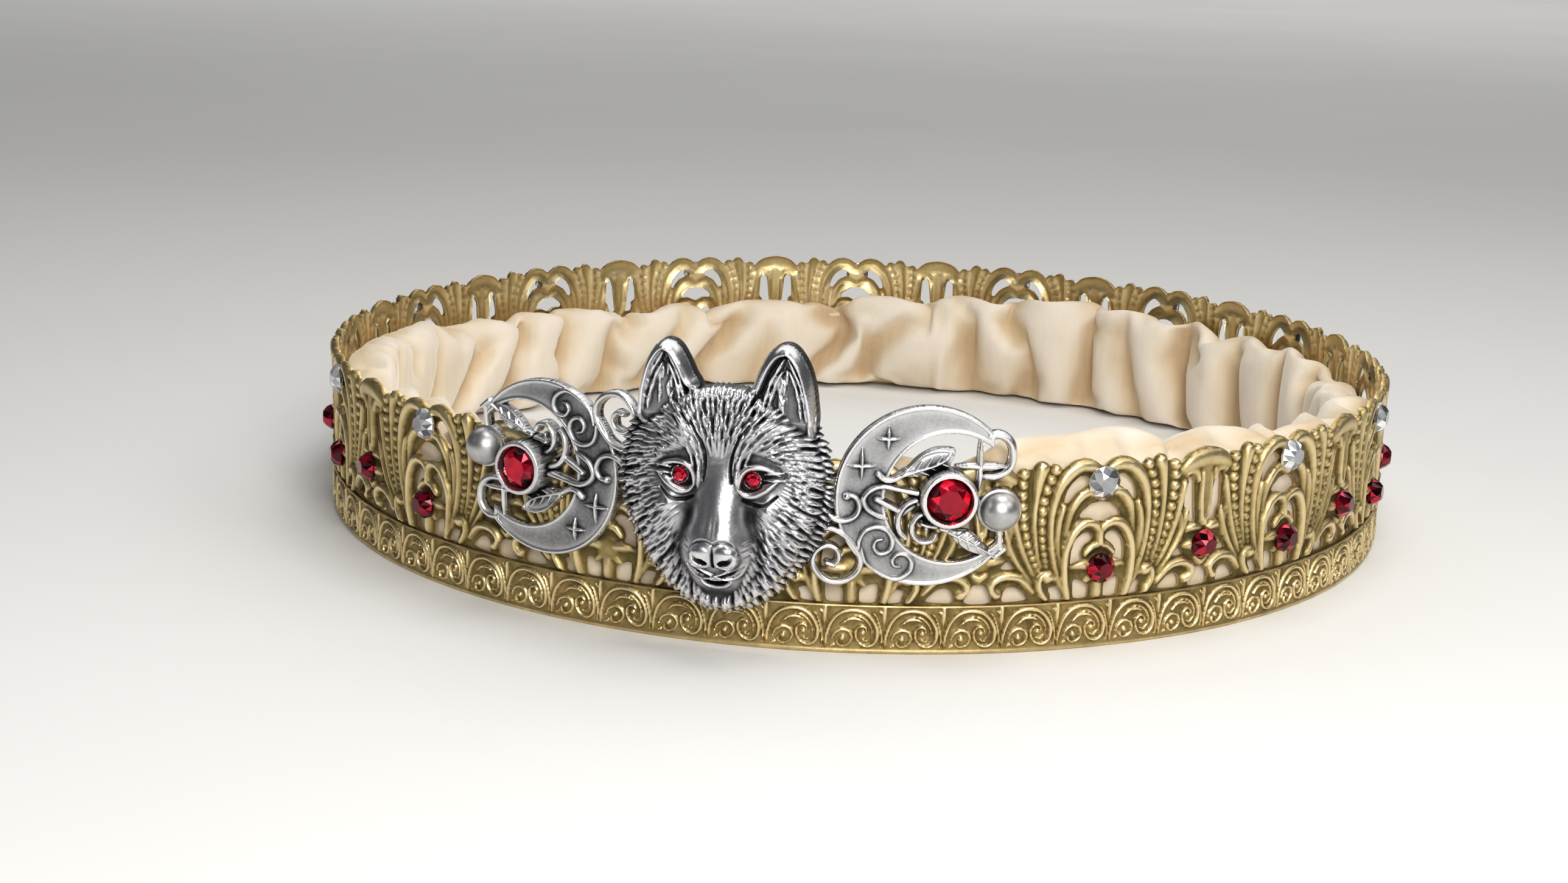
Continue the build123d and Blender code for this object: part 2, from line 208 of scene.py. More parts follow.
def band_half(step):
    """Half a repeat of the stamped band: x from the oval motif's centre to the slotted motif's."""
    W = BAND_STEP_MM / 2
    R = Relief(0.0, W, 0.4, 29.6, step, base=0.30)
    # outline of the sheet: straight foot, lobed rim
    rim = [(0, 27.5), (0.6, 27.9), (1.6, 28.6), (3.0, 29.0), (4.4, 28.75), (5.7, 28.0), (6.7, 27.2), (7.2, 27.9),
           (7.9, 28.4), (8.6, 27.95), (9.0, 28.5), (9.8, 28.85), (10.7, 28.45), (11.3, 27.6), (11.9, 27.6), (12.6, 27.9),
           (13.4, 27.5), (13.75, 26.6), (14.2, 27.0), (15.2, 27.9), (16.5, 28.6), (17.8, 28.95), (W, 29.0)]
    w, d = R.polygon([(-2, -2)] + [(-2, 27.5)] + rim + [(W + 2, 29.0), (W + 2, -2)])
    R.s[w] = np.maximum(R.s[w], d)
    rib, bead = R.rib, R.bead
    # ---- tall oval motif
    rib([(5.5, 7.9), (6.7, 11.6), (7.7, 15.4), (8.05, 20.0), (7.35, 24.0), (6.1, 26.3), (4.3, 27.7), (2.5, 27.9), (1.0, 27.2), (0.2, 26.2)],
        [0.8, 0.9, 1.0, 1.1, 1.6, 2.0, 2.1, 2.0, 1.6, 1.2], [0.5, 0.6, 0.7, 0.75, 0.85, 0.95, 0.95, 0.9, 0.8, 0.6], 0.3)
    rib([(6.15, 12.3), (6.9, 16.3), (6.85, 19.4), (6.2, 21.9)], [0.5, 1.0, 1.15, 1.0], [0.3, 0.6, 0.7, 0.7], 0.3)
    rib([(5.6, 17.6), (5.15, 20.4), (4.6, 22.0), (3.55, 23.4), (2.2, 23.95), (0.9, 23.5), (0.0, 22.9)],
        [0.9, 1.2, 1.5, 1.7, 1.6, 1.4, 1.2], [0.4, 0.6, 0.8, 0.85, 0.8, 0.7, 0.6], 0.3)
    rib([(4.75, 7.7), (5.45, 10.8), (5.6, 13.9), (5.2, 16.1), (4.05, 18.3), (2.5, 19.3), (1.0, 19.0), (0.1, 18.0)],
        [1.2, 1.3, 1.35, 1.45, 1.6, 1.7, 1.6, 1.3], [0.7, 0.85, 0.9, 0.95, 1.0, 1.0, 0.9, 0.7], 0.3)
    rib([(0, 16.1), (0, 17.6)], [1.3, 1.0], 0.85, 0.3, smooth=False)                    # bud
    rib([(0.5, 15.6), (1.2, 15.6), (2.3, 14.5)], [1.0, 1.3, 1.0], 0.7, 0.3)             # upper petal
    rib([(1.5, 12.7), (2.9, 12.9), (4.4, 12.5)], [1.6, 1.7, 0.5], [0.75, 0.75, 0.4], 0.3)   # side petal
    rib([(1.2, 10.9), (2.4, 9.9)], [1.0, 0.7], 0.45, 0.3, smooth=False)
    rib([(0, 10.6), (0, 8.6), (0, 7.4)], [1.5, 1.7, 1.3], [0.7, 0.75, 0.5], 0.3)        # bottom petal
    bead(0, 12.3, 2.0, 0.5, 0.3)
    # ---- ball and stem at the oval's foot
    bead(8.15, 11.35, 1.05, 1.0, 0.3)
    bead(7.05, 11.1, 0.55, 0.7, 0.3)
    rib([(8.6, 11.9), (9.35, 11.2), (9.45, 9.8), (8.8, 8.6), (8.1, 7.6)], [0.9, 1.0, 1.1, 1.1, 0.8], 0.75, 0.3)
    # ---- fan: a central rib between two rows of beads, and two ribs towards the slotted motif
    rib([(9.85, 27.75), (10.25, 26.0), (10.65, 23.0), (10.7, 20.0), (10.4, 17.2), (9.95, 14.8), (9.3, 12.8)],
        [2.2, 1.7, 1.15, 0.95, 0.8, 0.65, 0.45], [0.95, 0.9, 0.75, 0.65, 0.6, 0.5, 0.35], 0.3)
    near = [(7.7, 27.45, .86), (8.4, 26.0, .84), (8.95, 24.45, .84), (9.3, 22.85, .8), (9.42, 21.25, .78), (9.42, 19.75, .73),
            (9.36, 18.35, .68), (9.25, 17.05, .62), (9.05, 15.85, .57), (8.78, 14.75, .52), (8.55, 13.75, .46), (8.4, 12.9, .38)]
    far = [(12.65, 27.0, .86), (12.75, 25.4, .84), (12.72, 23.8, .84), (12.58, 22.15, .8), (12.38, 20.55, .77), (12.12, 19.05, .73),
           (11.8, 17.65, .68), (11.42, 16.35, .62), (11.0, 15.2, .57), (10.58, 14.15, .52), (10.1, 13.15, .46), (9.6, 12.35, .38)]
    for x, y, r in near + far:
        bead(x, y, r, r * 0.95, 0.3)
    rib([(14.55, 23.9), (13.65, 19.8), (12.55, 16.2), (11.3, 13.4), (10.3, 11.6)], [1.15, 1.1, 0.95, 0.8, 0.5], [0.7, 0.7, 0.65, 0.55, 0.3], 0.3)
    rib([(15.35, 19.5), (14.6, 16.8), (13.1, 13.8), (11.4, 11.5), (10.5, 10.4)], [1.0, 1.05, 0.9, 0.75, 0.5], [0.65, 0.65, 0.6, 0.5, 0.3], 0.3)
    rib([(14.3, 26.2), (14.9, 24.9)], 0.7, 0.4, 0.3, smooth=False)
    # ---- slotted motif
    B = W
    rib([(B - 4.4, 26.1), (B - 3.6, 26.6), (B - 2.2, 27.3), (B, 27.6)], [1.7, 2.3, 2.9, 3.1], [0.7, 0.9, 1.0, 1.05], 0.3)
    rib([(B - 3.9, 25.4), (B - 3.2, 25.75), (B - 2.0, 25.5), (B - 1.6, 24.2)], [0.9, 1.3, 1.3, 0.9], 0.75, 0.3)
    rib([(B, 26.5), (B, 23.0), (B, 19.5), (B, 17.6)], [2.6, 2.3, 2.0, 1.6], [0.75, 0.6, 0.55, 0.5], 0.3)
    rib([(B - 0.75, 25.2), (B - 0.85, 21.5), (B - 0.55, 18.0)], [0.7, 0.7, 0.5], 0.35, 0.75, solid=False)
    rib([(B, 18.3), (B, 17.3)], [1.1, 1.3], 0.85, 0.3, smooth=False)
    rib([(B - 1.0, 16.6), (B - 2.2, 16.9), (B - 3.1, 16.5)], [1.2, 1.6, 0.9], [0.8, 0.85, 0.5], 0.3)
    rib([(B - 1.3, 13.9), (B - 2.3, 14.2), (B - 3.5, 14.0)], [1.4, 1.7, 0.7], [0.8, 0.85, 0.4], 0.3)
    bead(B, 14.5, 2.2, 0.55, 0.3)
    rib([(B - 4.6, 19.2), (B - 4.1, 17.0), (B - 4.3, 15.0)], [0.9, 1.2, 0.7], 0.5, 0.3)
    rib([(B - 8.2, 9.2), (B - 6.3, 11.2), (B - 4.0, 11.75), (B - 2.2, 11.0), (B - 1.75, 9.9), (B - 2.5, 8.8)],
        [0.9, 1.3, 1.5, 1.4, 1.3, 1.2], [0.6, 0.85, 0.95, 0.95, 0.9, 0.8], 0.3)
    bead(B - 2.75, 8.9, 0.8, 0.8, 0.3)
    rib([(B - 0.9, 11.9), (B, 11.2)], [1.0, 1.2], 0.6, 0.3, smooth=False)
    # ---- openings
    for pts in (
        [(6.05, 22.6), (5.65, 24.2), (4.75, 25.5), (3.45, 26.4), (2.3, 26.0), (1.6, 25.2), (2.5, 24.75), (4.0, 23.9), (4.9, 22.8), (5.5, 22.2)],
        [(4.5, 12.9), (4.4, 15.2), (3.75, 16.8), (2.3, 17.75), (1.1, 17.3), (1.0, 16.6), (2.2, 15.7), (2.8, 14.6), (2.5, 13.7), (3.6, 13.3)],
        [(3.9, 9.6), (3.8, 10.6), (2.6, 10.4), (1.35, 9.7), (1.2, 8.3), (1.5, 7.6), (3.4, 7.6), (3.8, 8.3)],
        [(7.3, 7.7), (7.5, 8.6), (7.9, 9.5), (6.6, 9.8), (5.95, 9.3), (5.35, 7.7)],
        [(B - 2.1, 24.5), (B - 2.9, 24.9), (B - 3.55, 24.2), (B - 3.65, 22.0), (B - 3.7, 20.2), (B - 3.05, 19.4), (B - 2.75, 17.9), (B - 1.35, 17.7), (B - 1.5, 19.6), (B - 1.75, 22.0)],
        [(B - 5.6, 12.7), (B - 4.3, 13.9), (B - 3.4, 13.3), (B - 3.2, 12.7), (B - 4.2, 12.55)],
        [(B - 7.8, 7.9), (B - 7.0, 9.0), (B - 5.7, 9.9), (B - 4.4, 9.9), (B - 3.7, 8.9), (B - 3.75, 7.7), (B - 5.5, 7.6)],
    ):
        R.hole(pts)
    R.hole([(-3.7, 19.9), (-3.1, 21.0), (-1.6, 22.1), (0, 22.4), (1.6, 22.1), (3.1, 21.0), (3.7, 19.9), (1.8, 19.95), (0.3, 19.3), (-0.3, 19.3), (-1.8, 19.95)], smooth=False)
    R.hole([(B - 1.9, 7.6), (B - 1.55, 9.6), (B - 0.7, 10.4), (B + 0.7, 10.4), (B + 1.55, 9.6), (B + 1.9, 7.6)])
    return R
def border_cell(step):
    """One scroll of the border strip: x from one divider to the next."""
    R = Relief(0.0, 8.652, 0.0, 7.4, step, base=0.12)
    w, d = R.polygon([(-2, 0.0), (11, 0.0), (11, 7.4), (-2, 7.4)])
    R.s[w] = np.maximum(R.s[w], d)
    P = 8.652

    def both(points, *a, **k):      # ribs that cross the cell's ends show on both sides
        for dx in (-P, 0.0, P):
            R.rib([(p[0] + dx, p[1]) for p in points], *a, **k)

    R.rib([(-2, 0.35), (P + 2, 0.35)], 0.5, 0.14, 0.12, smooth=False)
    R.rib([(-2, 7.25), (P + 2, 7.25)], 0.4, 0.16, 0.12, smooth=False)
    both([(0.05, 7.0), (0.0, 5.8), (0.0, 4.3)], [0.6, 0.55, 0.3], 0.34, 0.12)
    both([(0.2, 1.0), (0.22, 2.2), (0.7, 4.15), (1.4, 5.4), (2.45, 6.3), (4.1, 6.68), (5.8, 6.3), (7.0, 5.2), (7.68, 3.7), (7.62, 2.3),
          (6.95, 1.4), (6.0, 1.25), (5.1, 1.75), (4.55, 2.8), (4.65, 3.75), (5.3, 4.25), (6.0, 4.0), (6.15, 3.45)],
         [0.3, 0.45, 0.5, 0.55, 0.58, 0.6, 0.58, 0.55, 0.52, 0.5, 0.47, 0.44, 0.42, 0.4, 0.38, 0.36, 0.34, 0.32], 0.44, 0.12, per=5)
    R.bead(5.6, 3.25, 0.4, 0.42, 0.12)
    R.rib([(4.2, 5.85), (5.4, 5.6), (6.4, 4.75), (6.9, 3.6), (6.8, 2.6)], [0.2, 0.36, 0.36, 0.3, 0.2], 0.34, 0.12)
    R.rib([(2.3, 4.35), (3.4, 5.25), (4.6, 5.35), (5.5, 5.05)], [0.25, 0.5, 0.5, 0.25], 0.42, 0.12)
    R.rib([(5.5, 2.2), (6.1, 2.0), (6.6, 2.5)], [0.2, 0.32, 0.2], 0.3, 0.12)
    R.rib([(1.15, 2.2), (1.55, 3.15), (2.55, 3.7), (3.6, 3.4), (4.0, 2.4), (3.4, 1.45), (2.5, 1.2), (1.95, 1.55), (1.95, 2.1)],
          [0.32, 0.42, 0.46, 0.44, 0.42, 0.38, 0.36, 0.34, 0.3], 0.4, 0.12, per=5)
    R.bead(2.65, 2.4, 0.4, 0.42, 0.12)
    R.rib([(0.9, 1.1), (1.4, 1.3)], [0.2, 0.4], 0.3, 0.12, smooth=False)
    R.rib([(8.2, 1.0), (8.35, 2.3), (8.1, 3.9), (7.6, 5.5), (7.0, 6.3)], [0.2, 0.36, 0.36, 0.3, 0.2], 0.3, 0.12)
    R.rib([(7.9, 6.6), (8.3, 6.3)], [0.3, 0.45], 0.3, 0.12, smooth=False)
    return R
def moon_relief(step):
    """The crescent casting in plan: x and y from the centre of its outer edge, height above its flat back."""
    R = Relief(-17.4, 14.4, -13.9, 13.9, step, base=0.0)
    X, Y = np.meshgrid(R.x, R.y)
    T = 1.35
    outer = 13.33 - np.hypot(X, Y)
    bite = np.hypot(X - 3.47, Y + 0.16) - 9.48
    moon = np.minimum(outer, bite)
    moon = np.where(Y > 0, np.minimum(moon, 9.45 - X), np.minimum(moon, 11.2 - X))      # the horns' cut-off tips
    R.s = np.maximum(R.s, moon)
    R.h = np.where(moon > 0, T - 0.12 * np.clip(1 - moon / 1.1, 0, 1) ** 2, R.h)
    # a low rolled edge along both curves
    edge = np.abs(moon - 0.32)
    R.h = np.where((moon > 0) & (edge < 0.3), np.maximum(R.h, T + 0.16 * np.sqrt(np.clip(1 - (edge / 0.3) ** 2, 0, 1))), R.h)
    rib, bead = R.rib, R.bead
    ox, oy = 0.17, -0.36                     # traced points are offset from the outer edge's centre by this

    def P(pts):
        return [(p[0] + ox, p[1] + oy) + tuple(p[2:]) for p in pts]

    def star(x, y, up, down, left, right, w=0.62, rise=0.75, base=T - 0.1):
        x, y = x + ox, y + oy
        for dx, dy in ((0, up), (0, -down), (-left, 0), (right, 0)):
            rib([(x, y), (x + dx * 0.55, y + dy * 0.55), (x + dx, y + dy)], [w, w * 0.95, w * 0.35], [rise, rise * 0.85, rise * 0.35], base, smooth=False)

    star(-9.7, 4.9, 2.6, 2.0, 2.1, 2.1)
    star(-6.0, 8.9, 1.8, 1.7, 1.75, 1.75)
    star(7.4, 4.9, 4.6, 3.6, 3.5, 4.1, w=0.95, rise=0.9, base=0.9)
    # end loop
    rib(P([(8.6, 9.4), (10.1, 9.5), (11.4, 8.75), (12.1, 7.3), (11.95, 5.3), (11.0, 4.0), (9.6, 3.4), (8.3, 3.4)]), 1.35, 1.2, 0.35)
    # link from the ball to the lower horn
    rib(P([(10.55, -4.0), (10.7, -5.4), (10.85, -7.6)]), [1.3, 1.1, 1.2], 1.3, 0.4)
    rib(P([(10.1, -8.4), (11.4, -7.3)]), 1.0, 0.8, T - 0.3, smooth=False)
    # cup: outer wall, rim and floor
    cx, cy = 3.0, 0.1
    r = np.hypot(X - cx, Y - cy)
    R.s = np.maximum(R.s, 4.15 - r)
    wall = 1.35 + 3.0 - 0.35 * np.clip((r - 3.75) / 0.4, 0, 1) ** 2
    wall = np.where(r < 3.30, 2.3, wall)
    R.h = np.where(r < 4.15, np.maximum(R.h, wall), R.h)
    # ball's seat: a plain rim
    bx, by = 10.6, -1.8
    rb = np.hypot(X - bx, Y - by)
    R.s = np.maximum(R.s, 3.2 - rb)
    R.h = np.where(rb < 3.2, np.maximum(R.h, 1.75 - 0.5 * np.clip((rb - 2.9) / 0.3, 0, 1) ** 2), R.h)
    rib([(6.6, -0.6), (8.4, -1.2)], 1.6, 0.9, 0.9, smooth=False)
    # upper leaf
    leaf = P([(-3.9, 3.5), (-2.6, 5.1), (-1.4, 6.35), (0.4, 7.4), (2.0, 7.65), (3.5, 7.5), (3.75, 6.9), (3.45, 5.9), (2.6, 4.6), (1.0, 3.8), (-1.2, 3.35)])
    w, d = R.polygon(leaf, smooth=True)
    R.s[w] = np.maximum(R.s[w], d)
    R.h[w] = np.where(d > 0, np.maximum(R.h[w], 1.25 + 0.45 * np.clip(d / 0.9, 0, 1) ** 0.5), R.h[w])
    rib(P([(-3.6, 3.9), (-2.5, 5.45), (-0.9, 6.75), (1.2, 7.35), (3.4, 7.2)]), [0.6, 0.75, 0.75, 0.7, 0.5], 0.75, 1.3, solid=False)
    rib(P([(-3.8, 3.6), (-1.6, 4.3), (0.6, 5.0), (2.2, 5.9), (3.4, 6.9)]), [0.75, 0.6, 0.55, 0.5, 0.3], 0.65, 1.45, solid=False)
    for a, b in (((-1.9, 4.3), (-1.2, 5.6)), ((-0.6, 4.7), (0.3, 6.1)), ((0.9, 5.2), (1.7, 6.5)), ((2.1, 5.9), (2.8, 6.8)),
                 ((-1.4, 4.2), (0.0, 3.7)), ((0.1, 4.8), (1.4, 4.2)), ((1.5, 5.5), (2.7, 5.0)), ((-2.6, 4.0), (-1.6, 3.5))):
        rib(P([a, b]), [0.55, 0.3], 0.6, 1.4, solid=False, smooth=False)
    rib(P([(-7.3, 3.75), (-6.6, 3.1), (-5.5, 2.85), (-4.3, 3.3), (-3.2, 4.1)]), [1.15, 1.15, 1.1, 1.1, 0.9], [1.1, 1.15, 1.1, 1.0, 0.9], 0.95)
    # lower leaf
    leaf = P([(3.3, -4.9), (4.6, -4.5), (6.2, -4.6), (7.6, -5.7), (8.7, -7.0), (9.7, -8.1), (8.0, -8.2), (6.2, -7.7), (4.7, -6.7), (3.8, -5.8)])
    w, d = R.polygon(leaf, smooth=True)
    R.s[w] = np.maximum(R.s[w], d)
    R.h[w] = np.where(d > 0, np.maximum(R.h[w], 1.25 + 0.5 * np.clip(d / 0.8, 0, 1) ** 0.5), R.h[w])
    rib(P([(3.3, -4.8), (5.0, -5.7), (7.2, -6.7), (9.5, -8.0)]), [0.7, 0.55, 0.5, 0.3], 0.65, 1.4, solid=False)
    for a, b in (((4.6, -5.4), (5.5, -4.8)), ((5.9, -6.0), (6.8, -5.4)), ((7.1, -6.6), (7.8, -6.1)), ((4.8, -5.7), (4.9, -6.5)), ((6.0, -6.2), (6.3, -7.2)), ((7.4, -6.9), (7.8, -7.7))):
        rib(P([a, b]), [0.55, 0.3], 0.55, 1.4, solid=False, smooth=False)
    rib(P([(2.2, -4.3), (3.2, -4.6), (4.2, -4.9)]), 1.0, 0.9, 0.9)
    # long tendril round the pin
    rib(P([(-0.6, 0.9), (-2.6, 1.2), (-4.6, 1.6), (-6.6, 1.95), (-8.3, 1.4), (-9.3, 0.1), (-8.7, -1.4), (-7.3, -2.35), (-6.0, -2.8)]),
        [1.15, 1.05, 1.0, 1.0, 1.05, 1.05, 1.0, 0.95, 0.8], [1.5, 1.4, 1.3, 1.2, 1.1, 1.1, 1.05, 1.0, 0.8], 0.95)
    rib(P([(-7.45, 0.05), (-6.0, -0.7), (-4.5, -1.5)]), [1.05, 1.1, 1.05], 1.25, 0.95)
    # horn beside the cup, with its inner curl
    rib(P([(-0.6, 0.1), (-2.0, -0.15), (-3.4, -1.0), (-4.15, -2.6), (-3.95, -4.6), (-3.0, -5.8)]), [1.0, 1.0, 1.05, 1.05, 1.0, 0.8], [1.3, 1.3, 1.25, 1.2, 1.0, 0.8], 0.9)
    rib(P([(-0.4, -1.9), (-1.6, -2.7), (-2.15, -3.9), (-1.85, -5.3), (-0.7, -6.3), (0.7, -6.1), (1.3, -5.2)]), [0.9, 0.95, 1.0, 1.0, 1.0, 0.95, 0.8], 1.15, 0.9)
    rib(P([(-0.7, -3.6), (0.3, -3.9), (1.3, -4.0)]), 0.85, 1.1, 0.9)
    rib(P([(-0.3, -2.4), (0.1, -4.6)]), 0.7, 0.5, 0.5, smooth=False)
    rib(P([(-3.4, -2.4), (-1.8, -1.2)]), 0.8, 0.4, 0.4, smooth=False)
    # curls in low relief on the crescent
    rib(P([(-9.7, -7.3), (-9.6, -6.0), (-8.9, -4.7), (-7.2, -4.1), (-5.6, -4.7), (-4.85, -6.2), (-5.3, -7.6), (-6.6, -8.1), (-7.5, -7.2), (-7.3, -6.2), (-6.4, -5.9)]),
        [0.4, 0.6, 0.75, 0.8, 0.8, 0.8, 0.75, 0.7, 0.6, 0.5, 0.4], 0.55, T - 0.05, solid=False)
    rib(P([(-9.3, -7.4), (-8.6, -9.4), (-6.7, -11.0), (-4.3, -11.9), (-2.4, -10.9), (-1.95, -9.4), (-2.7, -8.3), (-4.0, -8.15), (-4.75, -9.0), (-4.4, -9.9), (-3.6, -10.0)]),
        [0.4, 0.6, 0.75, 0.8, 0.8, 0.75, 0.7, 0.65, 0.55, 0.45, 0.35], 0.55, T - 0.05, solid=False)
    # hooked curl and large curl, outside the crescent
    rib(P([(-15.6, -0.9), (-14.6, -2.1), (-13.3, -2.95), (-11.9, -3.2), (-10.5, -2.55), (-9.85, -1.1), (-10.35, 0.2), (-11.4, 0.65)]),
        [1.0, 1.05, 1.1, 1.1, 1.1, 1.1, 1.05, 1.0], [0.9, 1.1, 1.2, 1.3, 1.35, 1.35, 1.3, 1.2], 0.7)
    bead(-11.7 + ox, 0.45 + oy, 0.72, 1.4, 0.8)
    rib(P([(-14.9, -4.35), (-13.6, -4.5), (-12.1, -5.2), (-10.6, -6.7), (-9.4, -8.8), (-9.7, -10.8), (-11.4, -12.2), (-13.6, -12.4), (-15.4, -11.2), (-16.3, -9.4),
            (-15.8, -7.8), (-14.3, -7.0), (-12.9, -7.5), (-12.5, -8.8), (-13.2, -9.8), (-14.2, -9.6)]),
        [1.0, 1.1, 1.15, 1.15, 1.15, 1.15, 1.15, 1.15, 1.15, 1.1, 1.1, 1.05, 1.0, 1.0, 0.95, 0.9], [1.0, 1.1, 1.2, 1.2, 1.2, 1.2, 1.15, 1.1, 1.1, 1.1, 1.1, 1.1, 1.15, 1.2, 1.2, 1.1], 0.55, per=6)
    return R
def wolf_relief(step):
    """The wolf's head: x from its middle, y height above the foot of the band, height above its flat back."""
    R = Relief(-17.0, 17.0, 4.6, 47.6, step, base=0.0)
    rnd = np.random.RandomState(11)
    X, Y = np.meshgrid(R.x, R.y)
    A = np.abs(X)

    def ramp(v, rows):
        rows = sorted(rows)
        return np.interp(v, [r[0] for r in rows], [r[1] for r in rows])

    def hump(x, y, cx, cy, wx, wy):
        return np.exp(-((x - cx) / wx) ** 2 - ((y - cy) / wy) ** 2)

    # ---- outline of the head without its tufts: y, half width
    half = ramp(Y, [(7.0, 0.0), (7.6, 2.4), (8.8, 4.8), (10.4, 7.0), (12.4, 9.0), (15.0, 10.9), (18.5, 12.4), (22.0, 13.3),
                    (26.0, 13.6), (29.5, 13.4), (32.5, 12.4), (35.0, 10.8), (37.2, 8.6), (38.9, 5.5), (39.5, 2.2), (39.7, 0.0)])
    inside = half - A
    R.s = np.where((Y > 7.0) & (Y < 39.7), inside * 0.8, -9.0)
    # ---- big form
    e = (X / 13.9) ** 2 + ((Y - 23.6) / 17.6) ** 2
    face = 1.7 + 3.3 * np.sqrt(np.clip(1 - e, 0, 1))
    face = face + 1.15 * hump(A, Y, 7.6, 20.0, 3.0, 5.0)                     # cheeks
    face = face + 0.75 * hump(A, Y, 4.4, 35.0, 2.6, 3.6)                    # brows
    face = face - 0.45 * hump(A, Y, 0, 34.0, 1.3, 4.0)                      # furrow of the forehead
    U = X - 0.3
    B = np.abs(U)
    top = ramp(Y, [(4.6, 0.0), (8.6, 2.2), (10.0, 4.0), (11.2, 5.6), (12.2, 6.6), (13.6, 7.4), (15.0, 8.4), (16.6, 9.1), (18.0, 9.3), (19.4, 8.9),
                   (21.0, 8.15), (23.0, 7.3), (25.0, 6.5), (27.0, 5.85), (29.0, 5.4), (31.0, 5.15), (34.0, 4.9), (37.0, 4.2), (47.6, 0.0)])
    wide = ramp(Y, [(4.6, 1.0), (9.4, 2.6), (10.8, 3.5), (12.6, 4.4), (14.6, 5.3), (17.0, 5.35), (19.0, 4.6), (21.4, 3.7), (24.0, 3.1), (27.0, 2.7), (30.0, 2.5), (33.0, 2.8), (37.0, 3.2), (47.6, 3.0)])
    k = np.clip(B / (wide + 0.55), 0, 1)
    muzzle = face + (top - face) * (1 - k ** 2.2) ** 0.86
    H = np.where((B < wide + 0.55) & (Y > 8.2), np.maximum(face, muzzle), face)
    H = blur(H, 0.42 / step)
    H = H + 0.12 * hump(B, Y, 0.0, 24.0, 1.9, 5.5)                          # a full, rounded bridge
    H = H - 0.12 * hump(B, Y, 0.2, 20.6, 0.45, 1.6)
    # sockets, the hollows beside the bridge, and the folds from eye to muzzle
    H = H - 0.75 * hump(A, Y, 5.4, 27.0, 2.0, 1.7)
    H = H - 0.55 * hump(A, Y, 4.9, 22.4, 1.2, 2.4)
    H = H - 0.40 * hump(A, Y, 6.5, 17.6, 1.0, 3.6)
    H = H + 0.55 * hump(A, Y, 7.3, 22.8, 1.2, 1.6)
    smooth_form = H.copy()
    R.painted_light = np.zeros_like(R.h)
    R.h = np.where(R.s > 0, H, 0.0)

    def at(x, y):
        i = np.clip(np.round((np.asarray(x) - R.x[0]) / step).astype(int), 0, len(R.x) - 1)
        j = np.clip(np.round((np.asarray(y) - R.y[0]) / step).astype(int), 0, len(R.y) - 1)
        return smooth_form[j, i]

    def lock(pts, width, rise, sink=0.22, solid=False, lift=0.0, tip=0.15):
        """One lock of fur from its root to its tip, lying on the form."""
        pts = smooth_line(pts, 4)
        n = len(pts)
        v = np.arange(n) / (n - 1.0)
        b = np.maximum(at(pts[:, 0], pts[:, 1]), 1.2) - sink + lift
        w = width * np.interp(v, [0, 0.25, 0.55, 0.8, 1.0], [0.45, 0.9, 1.0, 0.78, tip])
        r = rise * np.interp(v, [0, 0.25, 0.55, 0.8, 1.0], [0.05, 0.45, 0.9, 1.0, 0.6]) + sink
        R.rib([tuple(p) for p in pts], list(w), list(r), list(b), power=0.62, solid=solid, smooth=False, per=1)

    # ---- ears: a cup whose rim stands clear of its round outer side, with locks inside
    ears = (
        (-1, [(-12.3, 33.4), (-12.6, 37.4), (-12.2, 40.6), (-11.4, 43.2), (-10.1, 45.2), (-8.6, 46.0), (-7.0, 45.4), (-5.7, 43.6), (-4.6, 41.4), (-3.6, 39.3), (-4.9, 36.0), (-8.2, 33.0)], (-8.6, 45.0), -8.6),
        (1, [(3.4, 37.6), (4.1, 40.4), (5.3, 43.4), (6.7, 45.5), (8.4, 46.4), (10.1, 45.9), (11.7, 43.8), (12.7, 41.2), (13.2, 38.3), (13.4, 35.1), (12.4, 32.6), (8.0, 33.4)], (8.5, 45.3), 8.9),
    )
    for s, outline, peak, mid in ears:
        w, d = R.polygon(outline, smooth=True)
        XX, YY = X[w], Y[w]
        side = (XX - mid) * s                                                # + towards the ear's outer edge
        rim_at = np.where(side > 0, 0.85, 1.05) - 0.25 * np.clip((40 - YY) / 4, 0, 1)
        back = 1.2 + 3.3 * np.sqrt(np.clip(1 - (1 - np.clip(d / rim_at, 0, 1)) ** 2, 0, 1))
        inner = np.clip((d - rim_at - 0.25) / 0.45, 0, 1)
        inner = inner * inner * (3 - 2 * inner)
        cup = 2.15 + 0.12 * np.clip(43 - YY, 0, 9) + 0.10 * side
        bead = 0.28 * np.exp(-((d - rim_at - 0.05) / 0.28) ** 2) * np.clip((YY - 37.0) / 3.0, 0, 1)
        low = np.clip((YY - 35.4) / 3.0, 0, 1)
        hh = (back + bead) * (1 - inner) + cup * inner
        inward = np.clip((-side - 1.0) / 2.0, 0, 1)                          # nearer the forehead the rim sinks into the fur sooner
        hh = 1.2 + (hh - 1.2) * np.clip((YY - 32.0 - 4.6 * inward) / 3.4, 0, 1)
        use = d > 0
        R.h[w] = np.where(use, np.maximum(R.h[w] * (1 - low * use), hh), R.h[w])
        R.s[w] = np.maximum(R.s[w], d)
        # painted light: the inside of each ear cup is coloured lighter
        R.painted_light[w] += 0.20 * inner * (d > 0) * low
